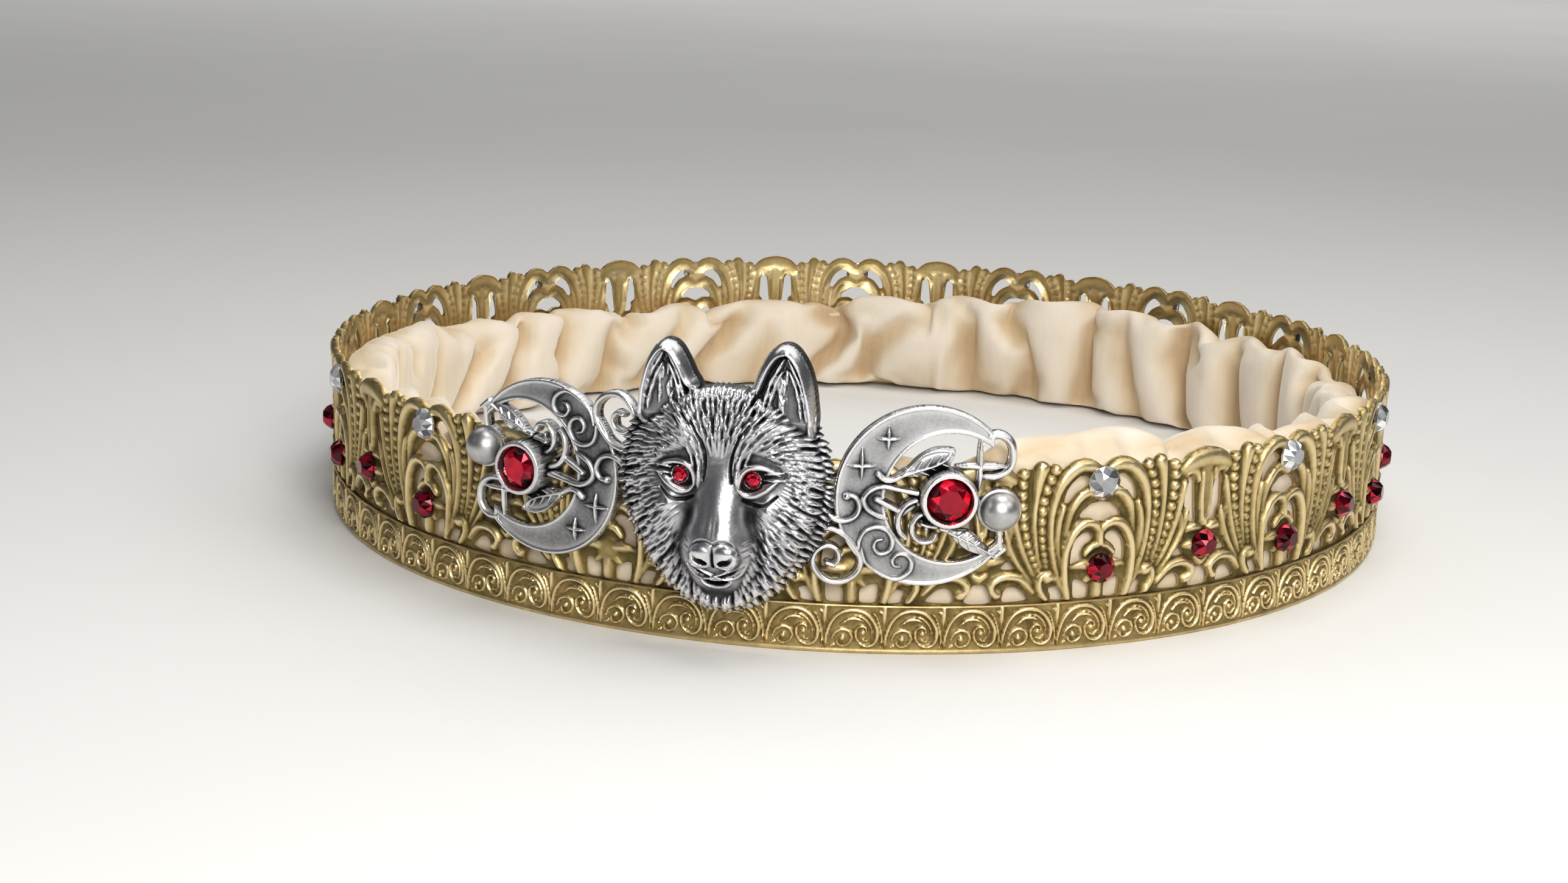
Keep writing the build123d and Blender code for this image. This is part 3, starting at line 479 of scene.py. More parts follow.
        # a bundle of locks that follows the rim inside, and shorter ones down the middle
        px, py = peak
        for off, h0 in ((2.0, 0.5), (2.75, 0.3)):
            for q in (-1, 1):
                x_edge = lambda yy, q=q, off=off: mid + q * max(0.3, np.interp(yy, [34, 38, 41, 44, 46], [5.4, 5.0, 4.1, 2.5, 0.4]) - off)
                for a, b in ((44.4, 41.6), (42.6, 39.6), (40.6, 37.6), (38.6, 35.8)):
                    if off > 2.5 and a > 43.5:
                        continue
                    pts = [(x_edge(a), a), (x_edge((a + b) / 2) + 0.12 * (rnd.rand() - 0.5), (a + b) / 2), (x_edge(b), b)]
                    R.rib(pts, [0.35, 0.75, 0.3], [0.5, 0.75, 0.45], 2.35 + h0 + 0.11 * (43 - a), power=0.6, solid=False)
        for i in range(12):
            x0 = mid + (rnd.rand() - 0.5) * 4.4
            y0 = 36.2 + 5.0 * rnd.rand()
            if abs(x0 - mid) > 0.33 * (45 - y0):
                continue
            R.rib([(x0, y0), (x0 + 0.25 * (rnd.rand() - 0.5), y0 + 1.1), (x0 + 0.5 * (rnd.rand() - 0.5), y0 + 2.1)], [0.5, 0.7, 0.25], [0.55, 0.7, 0.4],
                  2.0 + 0.11 * (43 - y0), power=0.6, solid=False)

    # ---- guide strands on one side of the face, from the middle of the forehead round to the chin
    guides = np.array([smooth_line(g, 6)[:19] for g in (
        [(0.0, 29.9), (0.0, 33.0), (0.0, 36.4), (0.0, 39.8)], [(0.9, 30.1), (1.4, 33.4), (2.0, 36.8), (2.6, 39.7)], [(1.5, 30.3), (2.6, 33.4), (3.9, 36.3), (5.0, 38.9)],
        [(2.3, 29.4), (3.1, 32.0), (4.9, 34.9), (7.6, 37.6)], [(2.9, 28.8), (3.8, 31.6), (6.2, 34.3), (10.2, 36.4)], [(3.7, 30.4), (5.8, 32.6), (8.9, 34.4), (12.9, 35.2)],
        [(4.6, 30.9), (7.3, 32.4), (10.5, 33.4), (14.2, 33.4)], [(5.8, 30.7), (8.6, 31.5), (11.7, 31.7), (15.1, 31.2)], [(7.4, 30.1), (10.0, 30.4), (12.6, 29.8), (15.6, 29.0)],
        [(9.0, 28.7), (11.0, 28.4), (13.1, 27.7), (15.9, 26.8)], [(9.4, 26.7), (11.3, 26.2), (13.3, 25.4), (15.9, 24.4)], [(8.8, 25.1), (10.9, 24.2), (12.9, 23.2), (15.5, 21.6)],
        [(7.9, 23.7), (10.0, 22.4), (12.1, 21.0), (14.7, 19.0)], [(7.1, 22.2), (9.1, 20.5), (11.1, 18.7), (13.4, 16.4)], [(6.1, 20.7), (7.8, 18.5), (9.8, 16.4), (12.0, 14.0)],
        [(5.4, 18.8), (6.7, 16.4), (8.4, 14.1), (10.3, 11.6)], [(4.9, 16.0), (5.6, 14.0), (6.8, 11.8), (8.3, 9.4)], [(4.3, 14.2), (4.5, 12.2), (5.1, 10.2), (6.0, 7.8)],
        [(3.0, 12.4), (3.1, 10.9), (3.2, 9.0), (3.5, 6.8)], [(1.5, 11.4), (1.5, 9.9), (1.5, 8.3), (1.6, 6.2)], [(0.0, 11.0), (0.0, 9.4), (0.0, 7.9), (0.0, 6.0)])])
    n_g = len(guides) - 1

    def on_guide(t, v):
        t = min(max(t, 0.0), float(n_g))
        i = min(int(t), n_g - 1)
        f = t - i
        j = min(max(v, 0.0), 1.0) * (guides.shape[1] - 1)
        k = min(int(j), guides.shape[1] - 2)
        g = j - k
        p = (guides[i, k] * (1 - f) + guides[i + 1, k] * f) * (1 - g) + (guides[i, k + 1] * (1 - f) + guides[i + 1, k + 1] * f) * g
        return p

    # tips and roots of each row of locks as shares of the guide; the outermost row lies lowest
    for v0, v1, width, rise, lift, lo, hi in ((0.60, 1.0, 1.05, 0.55, -0.75, 4.6, 20.0), (0.45, 0.86, 1.0, 0.85, 0.0, 3.4, 20.0), (0.78, 1.0, 0.85, 0.62, 0.0, 0.0, 4.4), (0.54, 0.88, 0.72, 0.58, 0.04, 0.0, 4.2),
                                              (0.33, 0.66, 0.82, 0.62, 0.05, 0.0, 18.4), (0.18, 0.50, 0.70, 0.52, 0.08, 0.0, 17.2), (0.04, 0.34, 0.60, 0.42, 0.10, 0.0, 9.6),
                                              (-0.08, 0.20, 0.55, 0.34, 0.08, 2.6, 9.0), (0.02, 0.26, 0.50, 0.22, 0.02, 9.6, 15.6)):
        for s in (-1, 1):
            t = lo if lo > 0 else (0.0 if s == 1 else 0.3)
            while t <= hi:
                vm = (v0 + v1) / 2
                a, b = on_guide(t, vm), on_guide(t + 0.2, vm)
                gap = math.hypot(*(b - a)) / 0.2
                w_ = width * (0.98 + 0.36 * rnd.rand())
                j0 = 0.05 * (rnd.rand() - 0.5)
                v_a, v_b = max(v0 + j0, 0.0), min(v1 + j0 + 0.05 * (rnd.rand() - 0.5), 1.03)
                dt = 0.35 * (rnd.rand() - 0.5)
                pts = []
                for q in range(4):
                    f = q / 3.0
                    p = on_guide(t + dt * math.sin(f * math.pi), v_a + (min(v_b, 1.0) - v_a) * f)
                    if q == 3 and v_b > 1.0:
                        p = p + (p - np.array(last)) * 0.12
                    last = p
                    pts.append((s * p[0], p[1]))
                lock(pts, w_, rise * (0.95 + 0.4 * rnd.rand()), solid=v1 > 0.95, lift=lift, tip=0.12)
                t += max(0.84 * w_ / max(gap, 0.25), 0.12)

    for s in (-1, 1):
        # brow: a thick band of locks from the inner corner of the eye up and out
        brow = [(2.95, 25.3), (2.8, 27.4), (3.0, 29.6), (3.8, 31.6), (5.2, 33.5), (7.0, 35.3)]
        for off, w_, rise, cut in ((0.0, 1.0, 0.75, 0), (0.95, 0.8, 0.62, 1), (-0.75, 0.55, 0.3, 1)):
            line = smooth_line(brow, 5)[cut * 4:]
            nrm = np.gradient(line, axis=0)
            nrm = np.stack([nrm[:, 1], -nrm[:, 0]], 1) / np.hypot(nrm[:, 0], nrm[:, 1])[:, None]
            line = line + nrm * off
            for a in range(0, len(line) - 7, 5):
                seg = line[a:a + 9]
                lock([(s * p[0], p[1]) for p in seg[::2]], w_, rise, lift=0.05, tip=0.35)
        R.rib([(s * 2.1, 26.6), (s * 1.9, 28.6), (s * 2.1, 30.6), (s * 2.9, 32.8), (s * 4.3, 35.0)], [0.35, 0.5, 0.5, 0.45, 0.2], 0.42, mode="cut", solid=False)
        # eyelids: a heavy lower lid, an upper lid, and the lashes' folds beyond the outer corner
        cx = -0.25
        up = [(s * 3.3 + cx, 25.8), (s * 3.45 + cx, 27.4), (s * 4.3 + cx, 28.6), (s * 5.7 + cx, 29.0), (s * 7.5 + cx, 28.7), (s * 9.0 + cx, 27.9)]
        dn = [(s * 3.3 + cx, 25.8), (s * 4.2 + cx, 24.95), (s * 5.6 + cx, 24.95), (s * 7.3 + cx, 25.9), (s * 8.9 + cx, 27.2)]
        R.rib(up, [0.5, 0.95, 1.1, 1.05, 0.8, 0.3], [0.45, 0.7, 0.85, 0.8, 0.6, 0.25], [float(at(*p)) + 0.1 for p in up], power=0.6, solid=False)
        R.rib(dn, [0.5, 1.05, 1.3, 1.1, 0.35], [0.45, 0.65, 0.75, 0.7, 0.3], [float(at(*p)) + 0.1 for p in dn], power=0.6, solid=False)
        for x0, y0, x1, y1 in ((6.9, 28.0, 9.6, 28.3), (6.8, 27.1, 9.8, 27.2), (6.7, 26.3, 8.6, 26.7)):
            pts = [(s * x0 + cx, y0), (s * (x0 + x1) / 2 + cx, (y0 + y1) / 2 + 0.1), (s * x1 + cx, y1)]
            R.rib(pts, [0.4, 0.6, 0.25], [0.45, 0.5, 0.3], [float(at(*p)) + 0.1 for p in pts], power=0.6, solid=False)
        R.rib([(s * 3.6, 24.2), (s * 5.0, 23.5), (s * 6.9, 23.7), (s * 8.6, 25.0)], [0.3, 0.55, 0.55, 0.25], 0.45, mode="cut", solid=False)
        ex = EYE_AT[0 if s < 0 else 1]
        w, XX, YY = R.window(ex - 1.6, ex + 1.6, 25.4, 28.8)
        r = np.hypot(XX - ex, YY - 27.05)
        seat = EYE_SEAT
        R.h[w] = np.where(r < 1.16, seat, np.where(r < 1.34, np.minimum(np.maximum(R.h[w], seat + 0.25), seat + 0.6), R.h[w]))
        # cheek: a few soft long strands between muzzle and ruff
        for i in range(7):
            y0 = 22.6 - 1.0 * i + 0.3 * rnd.rand()
            x0 = 5.2 + 0.12 * i + 0.3 * rnd.rand()
            lock([(s * x0, y0), (s * (x0 + 1.0), y0 - 0.55), (s * (x0 + 2.3), y0 - 1.6)], 0.5, 0.16, sink=0.08)
    # ---- nose pad, nostrils, lips and chin
    nx, ny = 0.35, 16.5
    w, XX, YY = R.window(nx - 4.4, nx + 4.4, ny - 3.4, ny + 3.2)
    for s in (-1, 1):
        lobe = np.clip(1 - (np.abs(XX - nx - s * 1.62) / 1.95) ** 2.2 - (np.abs(YY - ny) / 1.95) ** 2.2, 0, 1) ** 0.5
        R.h[w] = np.where(lobe > 0, np.maximum(R.h[w], 8.2 + 1.3 * lobe + 0.10 * np.clip(YY - ny, -2, 1.2)), R.h[w])
    R.rib([(nx, ny + 1.7), (nx, ny), (nx, ny - 1.6)], [0.25, 0.45, 0.45], [0.2, 0.4, 0.5], mode="cut", solid=False, smooth=False)
    R.rib([(nx - 3.5, ny + 0.3), (nx - 2.6, ny + 1.75), (nx - 1.2, ny + 2.25), (nx, ny + 1.9), (nx + 1.2, ny + 2.25), (nx + 2.6, ny + 1.75), (nx + 3.5, ny + 0.3)],
          [0.25, 0.4, 0.45, 0.4, 0.45, 0.4, 0.25], 0.26, mode="cut", solid=False)
    for s in (-1, 1):
        R.rib([(nx + s * 0.95, ny - 1.0), (nx + s * 1.6, ny - 0.75), (nx + s * 2.3, ny - 0.55), (nx + s * 2.95, ny + 0.15)], [0.5, 0.9, 0.7, 0.3], [1.1, 1.2, 0.9, 0.3], mode="cut", solid=False, power=0.6)
        # the lip's upper edge under the nose, then creases, then the mouth's edge
        R.rib([(nx + s * 0.1, 13.3), (nx + s * 1.6, 14.0), (nx + s * 3.2, 15.3), (nx + s * 3.75, 16.4)], [0.5, 0.5, 0.45, 0.2], [0.55, 0.5, 0.45, 0.2], mode="add", solid=False)
        R.rib([(nx + s * 0.9, 13.2), (nx + s * 2.2, 13.6), (nx + s * 3.6, 14.7)], [0.3, 0.4, 0.2], [0.45, 0.45, 0.2], mode="cut", solid=False)
        R.rib([(nx + s * 2.2, 14.1), (nx + s * 3.2, 14.4), (nx + s * 4.3, 15.3)], [0.2, 0.28, 0.15], 0.2, mode="add", solid=False)
        R.rib([(nx + s * 1.7, 13.3), (nx + s * 3.0, 13.6), (nx + s * 4.4, 14.7)], [0.2, 0.28, 0.15], 0.2, mode="add", solid=False)
        R.rib([(nx + s * 0.2, 13.1), (nx + s * 1.4, 12.75), (nx + s * 2.7, 12.9), (nx + s * 3.9, 13.8), (nx + s * 4.6, 15.2)], [0.45, 0.5, 0.5, 0.4, 0.2], [0.5, 0.5, 0.45, 0.35, 0.15], mode="add", solid=False)
        for x, y in ((3.9, 17.2), (4.2, 16.2), (4.1, 18.2)):
            R.rib([(nx + s * x, y), (nx + s * (x + 0.7), y + 0.3)], 0.22, 0.16, mode="cut", solid=False, smooth=False)
    R.rib([(nx - 1.7, 12.35), (nx - 0.8, 12.0), (nx, 11.95), (nx + 0.8, 12.0), (nx + 1.7, 12.35)], [0.3, 0.6, 0.7, 0.6, 0.3], [0.6, 1.7, 1.9, 1.7, 0.6], mode="cut", solid=False)
    R.rib([(nx - 2.2, 12.2), (nx - 1.5, 11.5), (nx, 11.15), (nx + 1.5, 11.5), (nx + 2.2, 12.2)], [0.3, 0.6, 0.7, 0.6, 0.3], [0.3, 0.6, 0.65, 0.6, 0.3], mode="add", solid=False)
    # ---- everything falls off to the back at its outline
    R.h = np.where(R.s > 0, R.h, 0.9)
    return R
# ---------------------------------------------------------------- meshes from height maps
def relief_solid(R, back, wrap=False):
    """Vertices (x, y, h) in mm and faces of a closed solid: the relief in front, its outline
    cut to the metal's edge, and a back at the heights given (a number or a map)."""
    h, s = R.h, R.s
    ny, nx = h.shape
    inside = s > 0
    X, Y = np.meshgrid(R.x, R.y)
    dx, dy = R.x[1] - R.x[0], R.y[1] - R.y[0]
    sx = np.zeros((ny, nx))
    sy = np.zeros((ny, nx))
    sh = np.zeros((ny, nx))
    sw = np.zeros((ny, nx))
    for j in (-1, 0, 1):
        for i in (-1, 0, 1):
            if i == 0 and j == 0:
                continue
            s2 = np.roll(s, (-j, -i), (0, 1))
            h2 = np.roll(h, (-j, -i), (0, 1))
            ok = (~inside) & (s2 > 0)
            if j == 1:
                ok[-1, :] = False
            if j == -1:
                ok[0, :] = False
            if not wrap:
                if i == 1:
                    ok[:, -1] = False
                if i == -1:
                    ok[:, 0] = False
            t = np.where(ok, -s / np.maximum(s2 - s, 1e-9), 0.0)
            weight = np.where(ok, 1.0 if i * j == 0 else 0.002, 0.0)
            sx += weight * (X + t * i * dx)
            sy += weight * (Y + t * j * dy)
            sh += weight * h2
            sw += weight
    rim = sw > 0
    VX = np.where(rim, sx / np.maximum(sw, 1e-9), X)
    VY = np.where(rim, sy / np.maximum(sw, 1e-9), Y)
    VH = np.where(rim, sh / np.maximum(sw, 1e-9), h)
    keep = inside | rim
    idx = np.arange(ny * nx).reshape(ny, nx)
    if wrap:
        a, b = idx[:-1, :], np.roll(idx, -1, 1)[:-1, :]
        d, c = idx[1:, :], np.roll(idx, -1, 1)[1:, :]
    else:
        a, b, c, d = idx[:-1, :-1], idx[:-1, 1:], idx[1:, 1:], idx[1:, :-1]
    k, ins = keep.ravel(), inside.ravel()
    quads = np.stack([a.ravel(), b.ravel(), c.ravel(), d.ravel()], 1)
    quads = quads[k[quads].all(1) & ins[quads].any(1)]
    used = np.zeros(ny * nx, bool)
    used[quads.ravel()] = True
    new = np.cumsum(used) - 1
    quads = new[quads]
    n = int(used.sum())
    x, y, hf = VX.ravel()[used], VY.ravel()[used], VH.ravel()[used]
    hb = np.broadcast_to(back, (ny, nx)).ravel()[used]
    edges = np.concatenate([quads[:, [0, 1]], quads[:, [1, 2]], quads[:, [2, 3]], quads[:, [3, 0]]])
    key = edges[:, 0].astype(np.int64) * n + edges[:, 1]
    rev = edges[:, 1].astype(np.int64) * n + edges[:, 0]
    border = edges[~np.isin(key, rev)]
    walls = np.stack([border[:, 1], border[:, 0], border[:, 0] + n, border[:, 1] + n], 1)
    faces = np.concatenate([quads, walls, quads[:, ::-1] + n])
    verts = np.concatenate([np.stack([x, y, hf], 1), np.stack([x, y, hb], 1)])
    return verts, faces


def make_mesh(name, verts, faces):
    """A Blender object from arrays; faces is an array of quads or triangles, or a list."""
    me = bpy.data.meshes.new(name)
    verts = np.asarray(verts, np.float32)
    if isinstance(faces, np.ndarray):
        k = faces.shape[1]
        me.vertices.add(len(verts))
        me.vertices.foreach_set("co", verts.ravel())
        me.loops.add(faces.size)
        me.loops.foreach_set("vertex_index", faces.astype(np.int32).ravel())
        me.polygons.add(len(faces))
        me.polygons.foreach_set("loop_start", np.arange(0, faces.size, k, dtype=np.int32))
        me.update(calc_edges=True)
    else:
        me.from_pydata([tuple(map(float, v)) for v in verts], [], faces)
    me.validate()
    ob = bpy.data.objects.new(name, me)
    bpy.context.scene.collection.objects.link(ob)
    return ob


def decimate(ob, triangles):
    """Thins the mesh to about that many triangles, keeping its relief."""
    tris = sum(len(p.vertices) - 2 for p in ob.data.polygons)
    if tris <= triangles:
        return
    m = ob.modifiers.new("thin", "DECIMATE")
    m.ratio = triangles / tris
    m.use_collapse_triangulate = True
    bpy.context.view_layer.objects.active = ob
    bpy.ops.object.modifier_apply(modifier=m.name)


def coords(ob):
    co = np.empty(len(ob.data.vertices) * 3, np.float32)
    ob.data.vertices.foreach_get("co", co)
    return co.reshape(-1, 3).astype(float)


def set_coords(ob, co):
    ob.data.vertices.foreach_set("co", np.asarray(co, np.float32).ravel())
    ob.data.update()


def sample(R, field, x, y, wrap=None):
    """Bilinear look-up of a map at points of its plan; wrap is its period in cells."""
    fx = (x - R.x[0]) / (R.x[1] - R.x[0])
    fy = np.clip((y - R.y[0]) / (R.y[1] - R.y[0]), 0, field.shape[0] - 1.001)
    if wrap:
        i0 = np.floor(fx).astype(int)
        tx = fx - i0
        i1 = (i0 + 1) % wrap
        i0 = i0 % wrap
    else:
        fx = np.clip(fx, 0, field.shape[1] - 1.001)
        i0 = fx.astype(int)
        tx = fx - i0
        i1 = i0 + 1
    j0 = fy.astype(int)
    ty = fy - j0
    return ((field[j0, i0] * (1 - tx) + field[j0, i1] * tx) * (1 - ty)
            + (field[j0 + 1, i0] * (1 - tx) + field[j0 + 1, i1] * tx) * ty)


def attribute(ob, name, values):
    at = ob.data.attributes.new(name, "FLOAT", "POINT")
    at.data.foreach_set("value", np.asarray(values, np.float32).ravel())


def smooth_by_angle(ob, degrees):
    ob.data.polygons.foreach_set("use_smooth", np.ones(len(ob.data.polygons), bool))
    ob.data.set_sharp_from_angle(angle=math.radians(degrees))
    ob.data.update()


def wear(h, s, step, fine=0.28, wide=0.9, gain=1.0):
    """0 in the recesses, where patina gathers, to 1 on the rubbed ridges."""
    local = h - blur(h, wide / step)
    near = h - blur(h, fine / step)
    v = 0.5 + gain * (0.9 * local + 1.6 * near)
    return np.clip(v, 0, 1)


def around(s_mm, z_mm, r_mm, ref=95.0):
    """Bends a flat plan round the ring: distance along the band, height and radius to x, y, z in metres."""
    a = s_mm / ref
    return np.stack([r_mm * np.sin(a), -r_mm * np.cos(a), z_mm], -1) * MM


def on_plane(angle, radius, z0, p, q, h, turn=0.0):
    """A point of a flat casting: p along the band, q up, h outwards, from its own centre."""
    c, s = math.cos(math.radians(turn)), math.sin(math.radians(turn))
    p, q = p * c - q * s, p * s + q * c
    a = math.radians(angle)
    n = np.array([math.sin(a), -math.cos(a), 0.0])
    t = np.array([math.cos(a), math.sin(a), 0.0])
    return (np.multiply.outer(radius + h, n) + np.multiply.outer(p, t) + np.multiply.outer(z0 + q, np.array([0, 0, 1.0]))) * MM


# ---------------------------------------------------------------- materials
class Nodes:
    """Short words for building a node material."""

    def __init__(self, name):
        self.m = bpy.data.materials.new(name)
        self.m.use_nodes = True
        self.t = self.m.node_tree
        self.t.nodes.clear()
        self.out = self.t.nodes.new("ShaderNodeOutputMaterial")
        self.b = self.t.nodes.new("ShaderNodeBsdfPrincipled")
        self.t.links.new(self.b.outputs[0], self.out.inputs[0])
        self.co = self.t.nodes.new("ShaderNodeTexCoord").outputs["Object"]

    def put(self, socket, value):
        if isinstance(value, bpy.types.NodeSocket):
            self.t.links.new(value, socket)
        else:
            socket.default_value = value

    def set(self, **values):
        for k, v in values.items():
            self.put(self.b.inputs[k.replace("_", " ")], v)

    def noise(self, scale, detail=3.0, rough=0.5, co=None, distortion=0.0):
        n = self.t.nodes.new("ShaderNodeTexNoise")
        self.put(n.inputs["Vector"], co or self.co)
        n.inputs["Scale"].default_value = scale
        n.inputs["Detail"].default_value = detail
        n.inputs["Roughness"].default_value = rough
        n.inputs["Distortion"].default_value = distortion
        return n.outputs[0]

    def voronoi(self, scale, feature="F1", output="Distance", co=None):
        n = self.t.nodes.new("ShaderNodeTexVoronoi")
        n.feature = feature
        self.put(n.inputs["Vector"], co or self.co)
        n.inputs["Scale"].default_value = scale
        return n.outputs[output]

    def stretch(self, x, y, z):
        n = self.t.nodes.new("ShaderNodeMapping")
        self.put(n.inputs["Vector"], self.co)
        n.inputs["Scale"].default_value = (x, y, z)
        return n.outputs[0]

    def attr(self, name):
        n = self.t.nodes.new("ShaderNodeAttribute")
        n.attribute_name = name
        return n.outputs["Fac"]

    def math(self, op, a, b=0.0, c=0.0, clamp=False):
        n = self.t.nodes.new("ShaderNodeMath")
        n.operation = op
        n.use_clamp = clamp
        self.put(n.inputs[0], a)
        self.put(n.inputs[1], b)
        self.put(n.inputs[2], c)
        return n.outputs[0]

    def ramp(self, fac, stops, mode="LINEAR"):
        n = self.t.nodes.new("ShaderNodeValToRGB")
        n.color_ramp.interpolation = mode
        el = n.color_ramp.elements
        while len(el) < len(stops):
            el.new(0.5)
        for e, (pos, col) in zip(el, stops):
            e.position = pos
            e.color = (col, col, col, 1) if isinstance(col, float) else (*col, 1)
        self.put(n.inputs[0], fac)
        return n.outputs[0]

    def mix(self, fac, a, b):
        n = self.t.nodes.new("ShaderNodeMix")
        n.data_type = "RGBA"
        self.put(n.inputs[0], fac)
        self.put(n.inputs[6], a if isinstance(a, bpy.types.NodeSocket) else (*a, 1))
        self.put(n.inputs[7], b if isinstance(b, bpy.types.NodeSocket) else (*b, 1))
        return n.outputs[2]

    def bump(self, height, strength, distance, normal=None):
        n = self.t.nodes.new("ShaderNodeBump")
        n.inputs["Strength"].default_value = strength
        n.inputs["Distance"].default_value = distance
        self.put(n.inputs["Height"], height)
        if normal is not None:
            self.put(n.inputs["Normal"], normal)
        return n.outputs[0]


def brass_material(name, bright, shift=0.0):
    k = Nodes(name)
    wear_ = k.attr("wear")
    blotch = k.noise(260.0, 4.0, 0.6)
    fine = k.noise(1500.0, 4.0, 0.6)
    pits = k.voronoi(2600.0)
    v = k.math("ADD", wear_, k.math("MULTIPLY_ADD", blotch, 0.55, -0.275 + shift))
    v = k.math("ADD", v, k.math("MULTIPLY_ADD", fine, 0.30, -0.15), clamp=True)
    col = k.ramp(v, [(0.0, (0.055, 0.033, 0.012)), (0.16, (0.17, 0.108, 0.036)), (0.36, (0.375, 0.272, 0.112)),
                     (0.64, (0.585, 0.445, 0.215)), (1.0, bright)])
    green = k.math("MULTIPLY", k.noise(90.0, 3.0), 0.55)
    col = k.mix(k.math("MULTIPLY", green, k.math("SUBTRACT", 1.0, v)), col, (0.17, 0.165, 0.055))
    rough = k.math("ADD", k.ramp(v, [(0.0, 0.66), (0.5, 0.48), (1.0, 0.36)]), k.math("MULTIPLY_ADD", fine, 0.16, -0.08))
    h = k.math("ADD", k.math("MULTIPLY", fine, 0.7), k.math("MULTIPLY", pits, 0.5))
    k.set(Base_Color=col, Metallic=k.ramp(v, [(0.0, 0.75), (0.4, 1.0)]), Roughness=rough, Normal=k.bump(h, 0.35, 0.00006))
    return k.m


def silver_material(name):
    k = Nodes(name)
    wear_ = k.attr("wear")
    fine = k.noise(1400.0, 4.0, 0.6)
    blotch = k.noise(330.0, 3.0, 0.6)
    v = k.math("ADD", wear_, k.math("MULTIPLY_ADD", fine, 0.22, -0.11))
    v = k.math("ADD", v, k.math("MULTIPLY_ADD", blotch, 0.2, -0.1), clamp=True)
    col = k.ramp(v, [(0.0, (0.016, 0.015, 0.015)), (0.20, (0.085, 0.083, 0.087)), (0.40, (0.30, 0.298, 0.31)),
                     (0.60, (0.57, 0.567, 0.595)), (1.0, (0.90, 0.893, 0.915))])
    rough = k.math("ADD", k.ramp(v, [(0.0, 0.58), (0.4, 0.36), (1.0, 0.20)]), k.math("MULTIPLY_ADD", fine, 0.10, -0.05))
    k.set(Base_Color=col, Metallic=1.0, Roughness=rough, Normal=k.bump(k.math("ADD", fine, k.voronoi(2200.0)), 0.22, 0.00005))
    return k.m


def plate_silver_material(name):
    """The moons: duller, with a sandy plate between bright edges."""
    k = Nodes(name)
    wear_ = k.attr("wear")
    sand = k.noise(2100.0, 5.0, 0.7)
    blotch = k.noise(300.0, 4.0, 0.6)
    v = k.math("ADD", wear_, k.math("MULTIPLY_ADD", sand, 0.30, -0.15))
    v = k.math("ADD", v, k.math("MULTIPLY_ADD", blotch, 0.28, -0.14), clamp=True)
    col = k.ramp(v, [(0.0, (0.010, 0.010, 0.011)), (0.22, (0.07, 0.07, 0.075)), (0.44, (0.33, 0.332, 0.34)),
                     (0.64, (0.56, 0.56, 0.57)), (1.0, (0.84, 0.83, 0.83))])
    rough = k.math("ADD", k.ramp(v, [(0.0, 0.6), (0.5, 0.42), (1.0, 0.24)]), k.math("MULTIPLY_ADD", sand, 0.12, -0.06))
    k.set(Base_Color=col, Metallic=1.0, Roughness=rough, Normal=k.bump(sand, 0.5, 0.00009))
    return k.m


def satin_silver_material(name):
    k = Nodes(name)
    a = k.noise(900.0, 4.0, 0.6)
    b = k.noise(260.0, 3.0, 0.5)
    v = k.math("MULTIPLY_ADD", b, 0.5, k.math("MULTIPLY", a, 0.4))
    col = k.ramp(v, [(0.15, (0.30, 0.30, 0.30)), (0.5, (0.56, 0.56, 0.56)), (0.9, (0.70, 0.70, 0.69))])
    k.set(Base_Color=col, Metallic=1.0, Roughness=k.ramp(v, [(0.2, 0.46), (0.8, 0.30)]), Normal=k.bump(a, 0.25, 0.00004))
    return k.m


def gem_material(name, dark, mid, light, roughness=0.06):
    k = Nodes(name)
    # painted reflections: each facet's colour is set from dark to light by a random value, standing in for the glints
    # inside the stone
    f = k.attr("facet_reflection")
    n = k.noise(700.0, 2.0, 0.5)
    v = k.math("ADD", f, k.math("MULTIPLY_ADD", n, 0.34, -0.17), clamp=True)
    col = k.ramp(v, [(0.0, dark), (0.45, mid), (0.8, light), (1.0, light)])
    k.set(Base_Color=col, Metallic=0.72, Roughness=k.math("MULTIPLY_ADD", n, 0.06, roughness))
    k.b.inputs["Coat Weight"].default_value = 0.35
    k.b.inputs["Coat Roughness"].default_value = 0.03
    k.b.inputs["Coat IOR"].default_value = 1.45
    return k.m


def velvet_material(name):
    k = Nodes(name)
    # painted shade and light from the lining: tan in the hollows of the folds, cream on the crests
    fold_shading = k.attr("fold_shading")
    cloud = k.noise(75.0, 4.0, 0.55)
    nap = k.noise(1400.0, 3.0, 0.6)
    streak = k.noise(1.0, 4.0, 0.6, co=k.stretch(420.0, 420.0, 90.0))
    v = k.math("ADD", fold_shading, k.math("MULTIPLY_ADD", cloud, 0.5, -0.25))
    v = k.math("ADD", v, k.math("MULTIPLY_ADD", streak, 0.34, -0.17), clamp=True)
    col = k.ramp(v, [(0.0, (0.50, 0.355, 0.205)), (0.25, (0.61, 0.455, 0.285)), (0.5, (0.69, 0.555, 0.385)), (0.72, (0.745, 0.635, 0.485)), (1.0, (0.80, 0.715, 0.60))])
    h = k.math("ADD", k.math("MULTIPLY", nap, 0.6), k.math("MULTIPLY", streak, 0.9))
    k.set(Base_Color=col, Roughness=0.92, Normal=k.bump(h, 0.5, 0.00025))
    k.b.inputs["Sheen Weight"].default_value = 0.55
    k.b.inputs["Sheen Roughness"].default_value = 0.35
    k.b.inputs["Sheen Tint"].default_value = (1.0, 0.95, 0.86, 1.0)
    k.b.inputs["Specular IOR Level"].default_value = 0.2
    return k.m


def floor_material(name):
    k = Nodes(name)
    n = k.noise(3.0, 4.0, 0.5)
    k.set(Base_Color=k.ramp(n, [(0.3, (0.78, 0.775, 0.765)), (0.7, (0.82, 0.815, 0.805))]), Roughness=0.95)
    k.b.inputs["Specular IOR Level"].default_value = 0.1
    return k.m


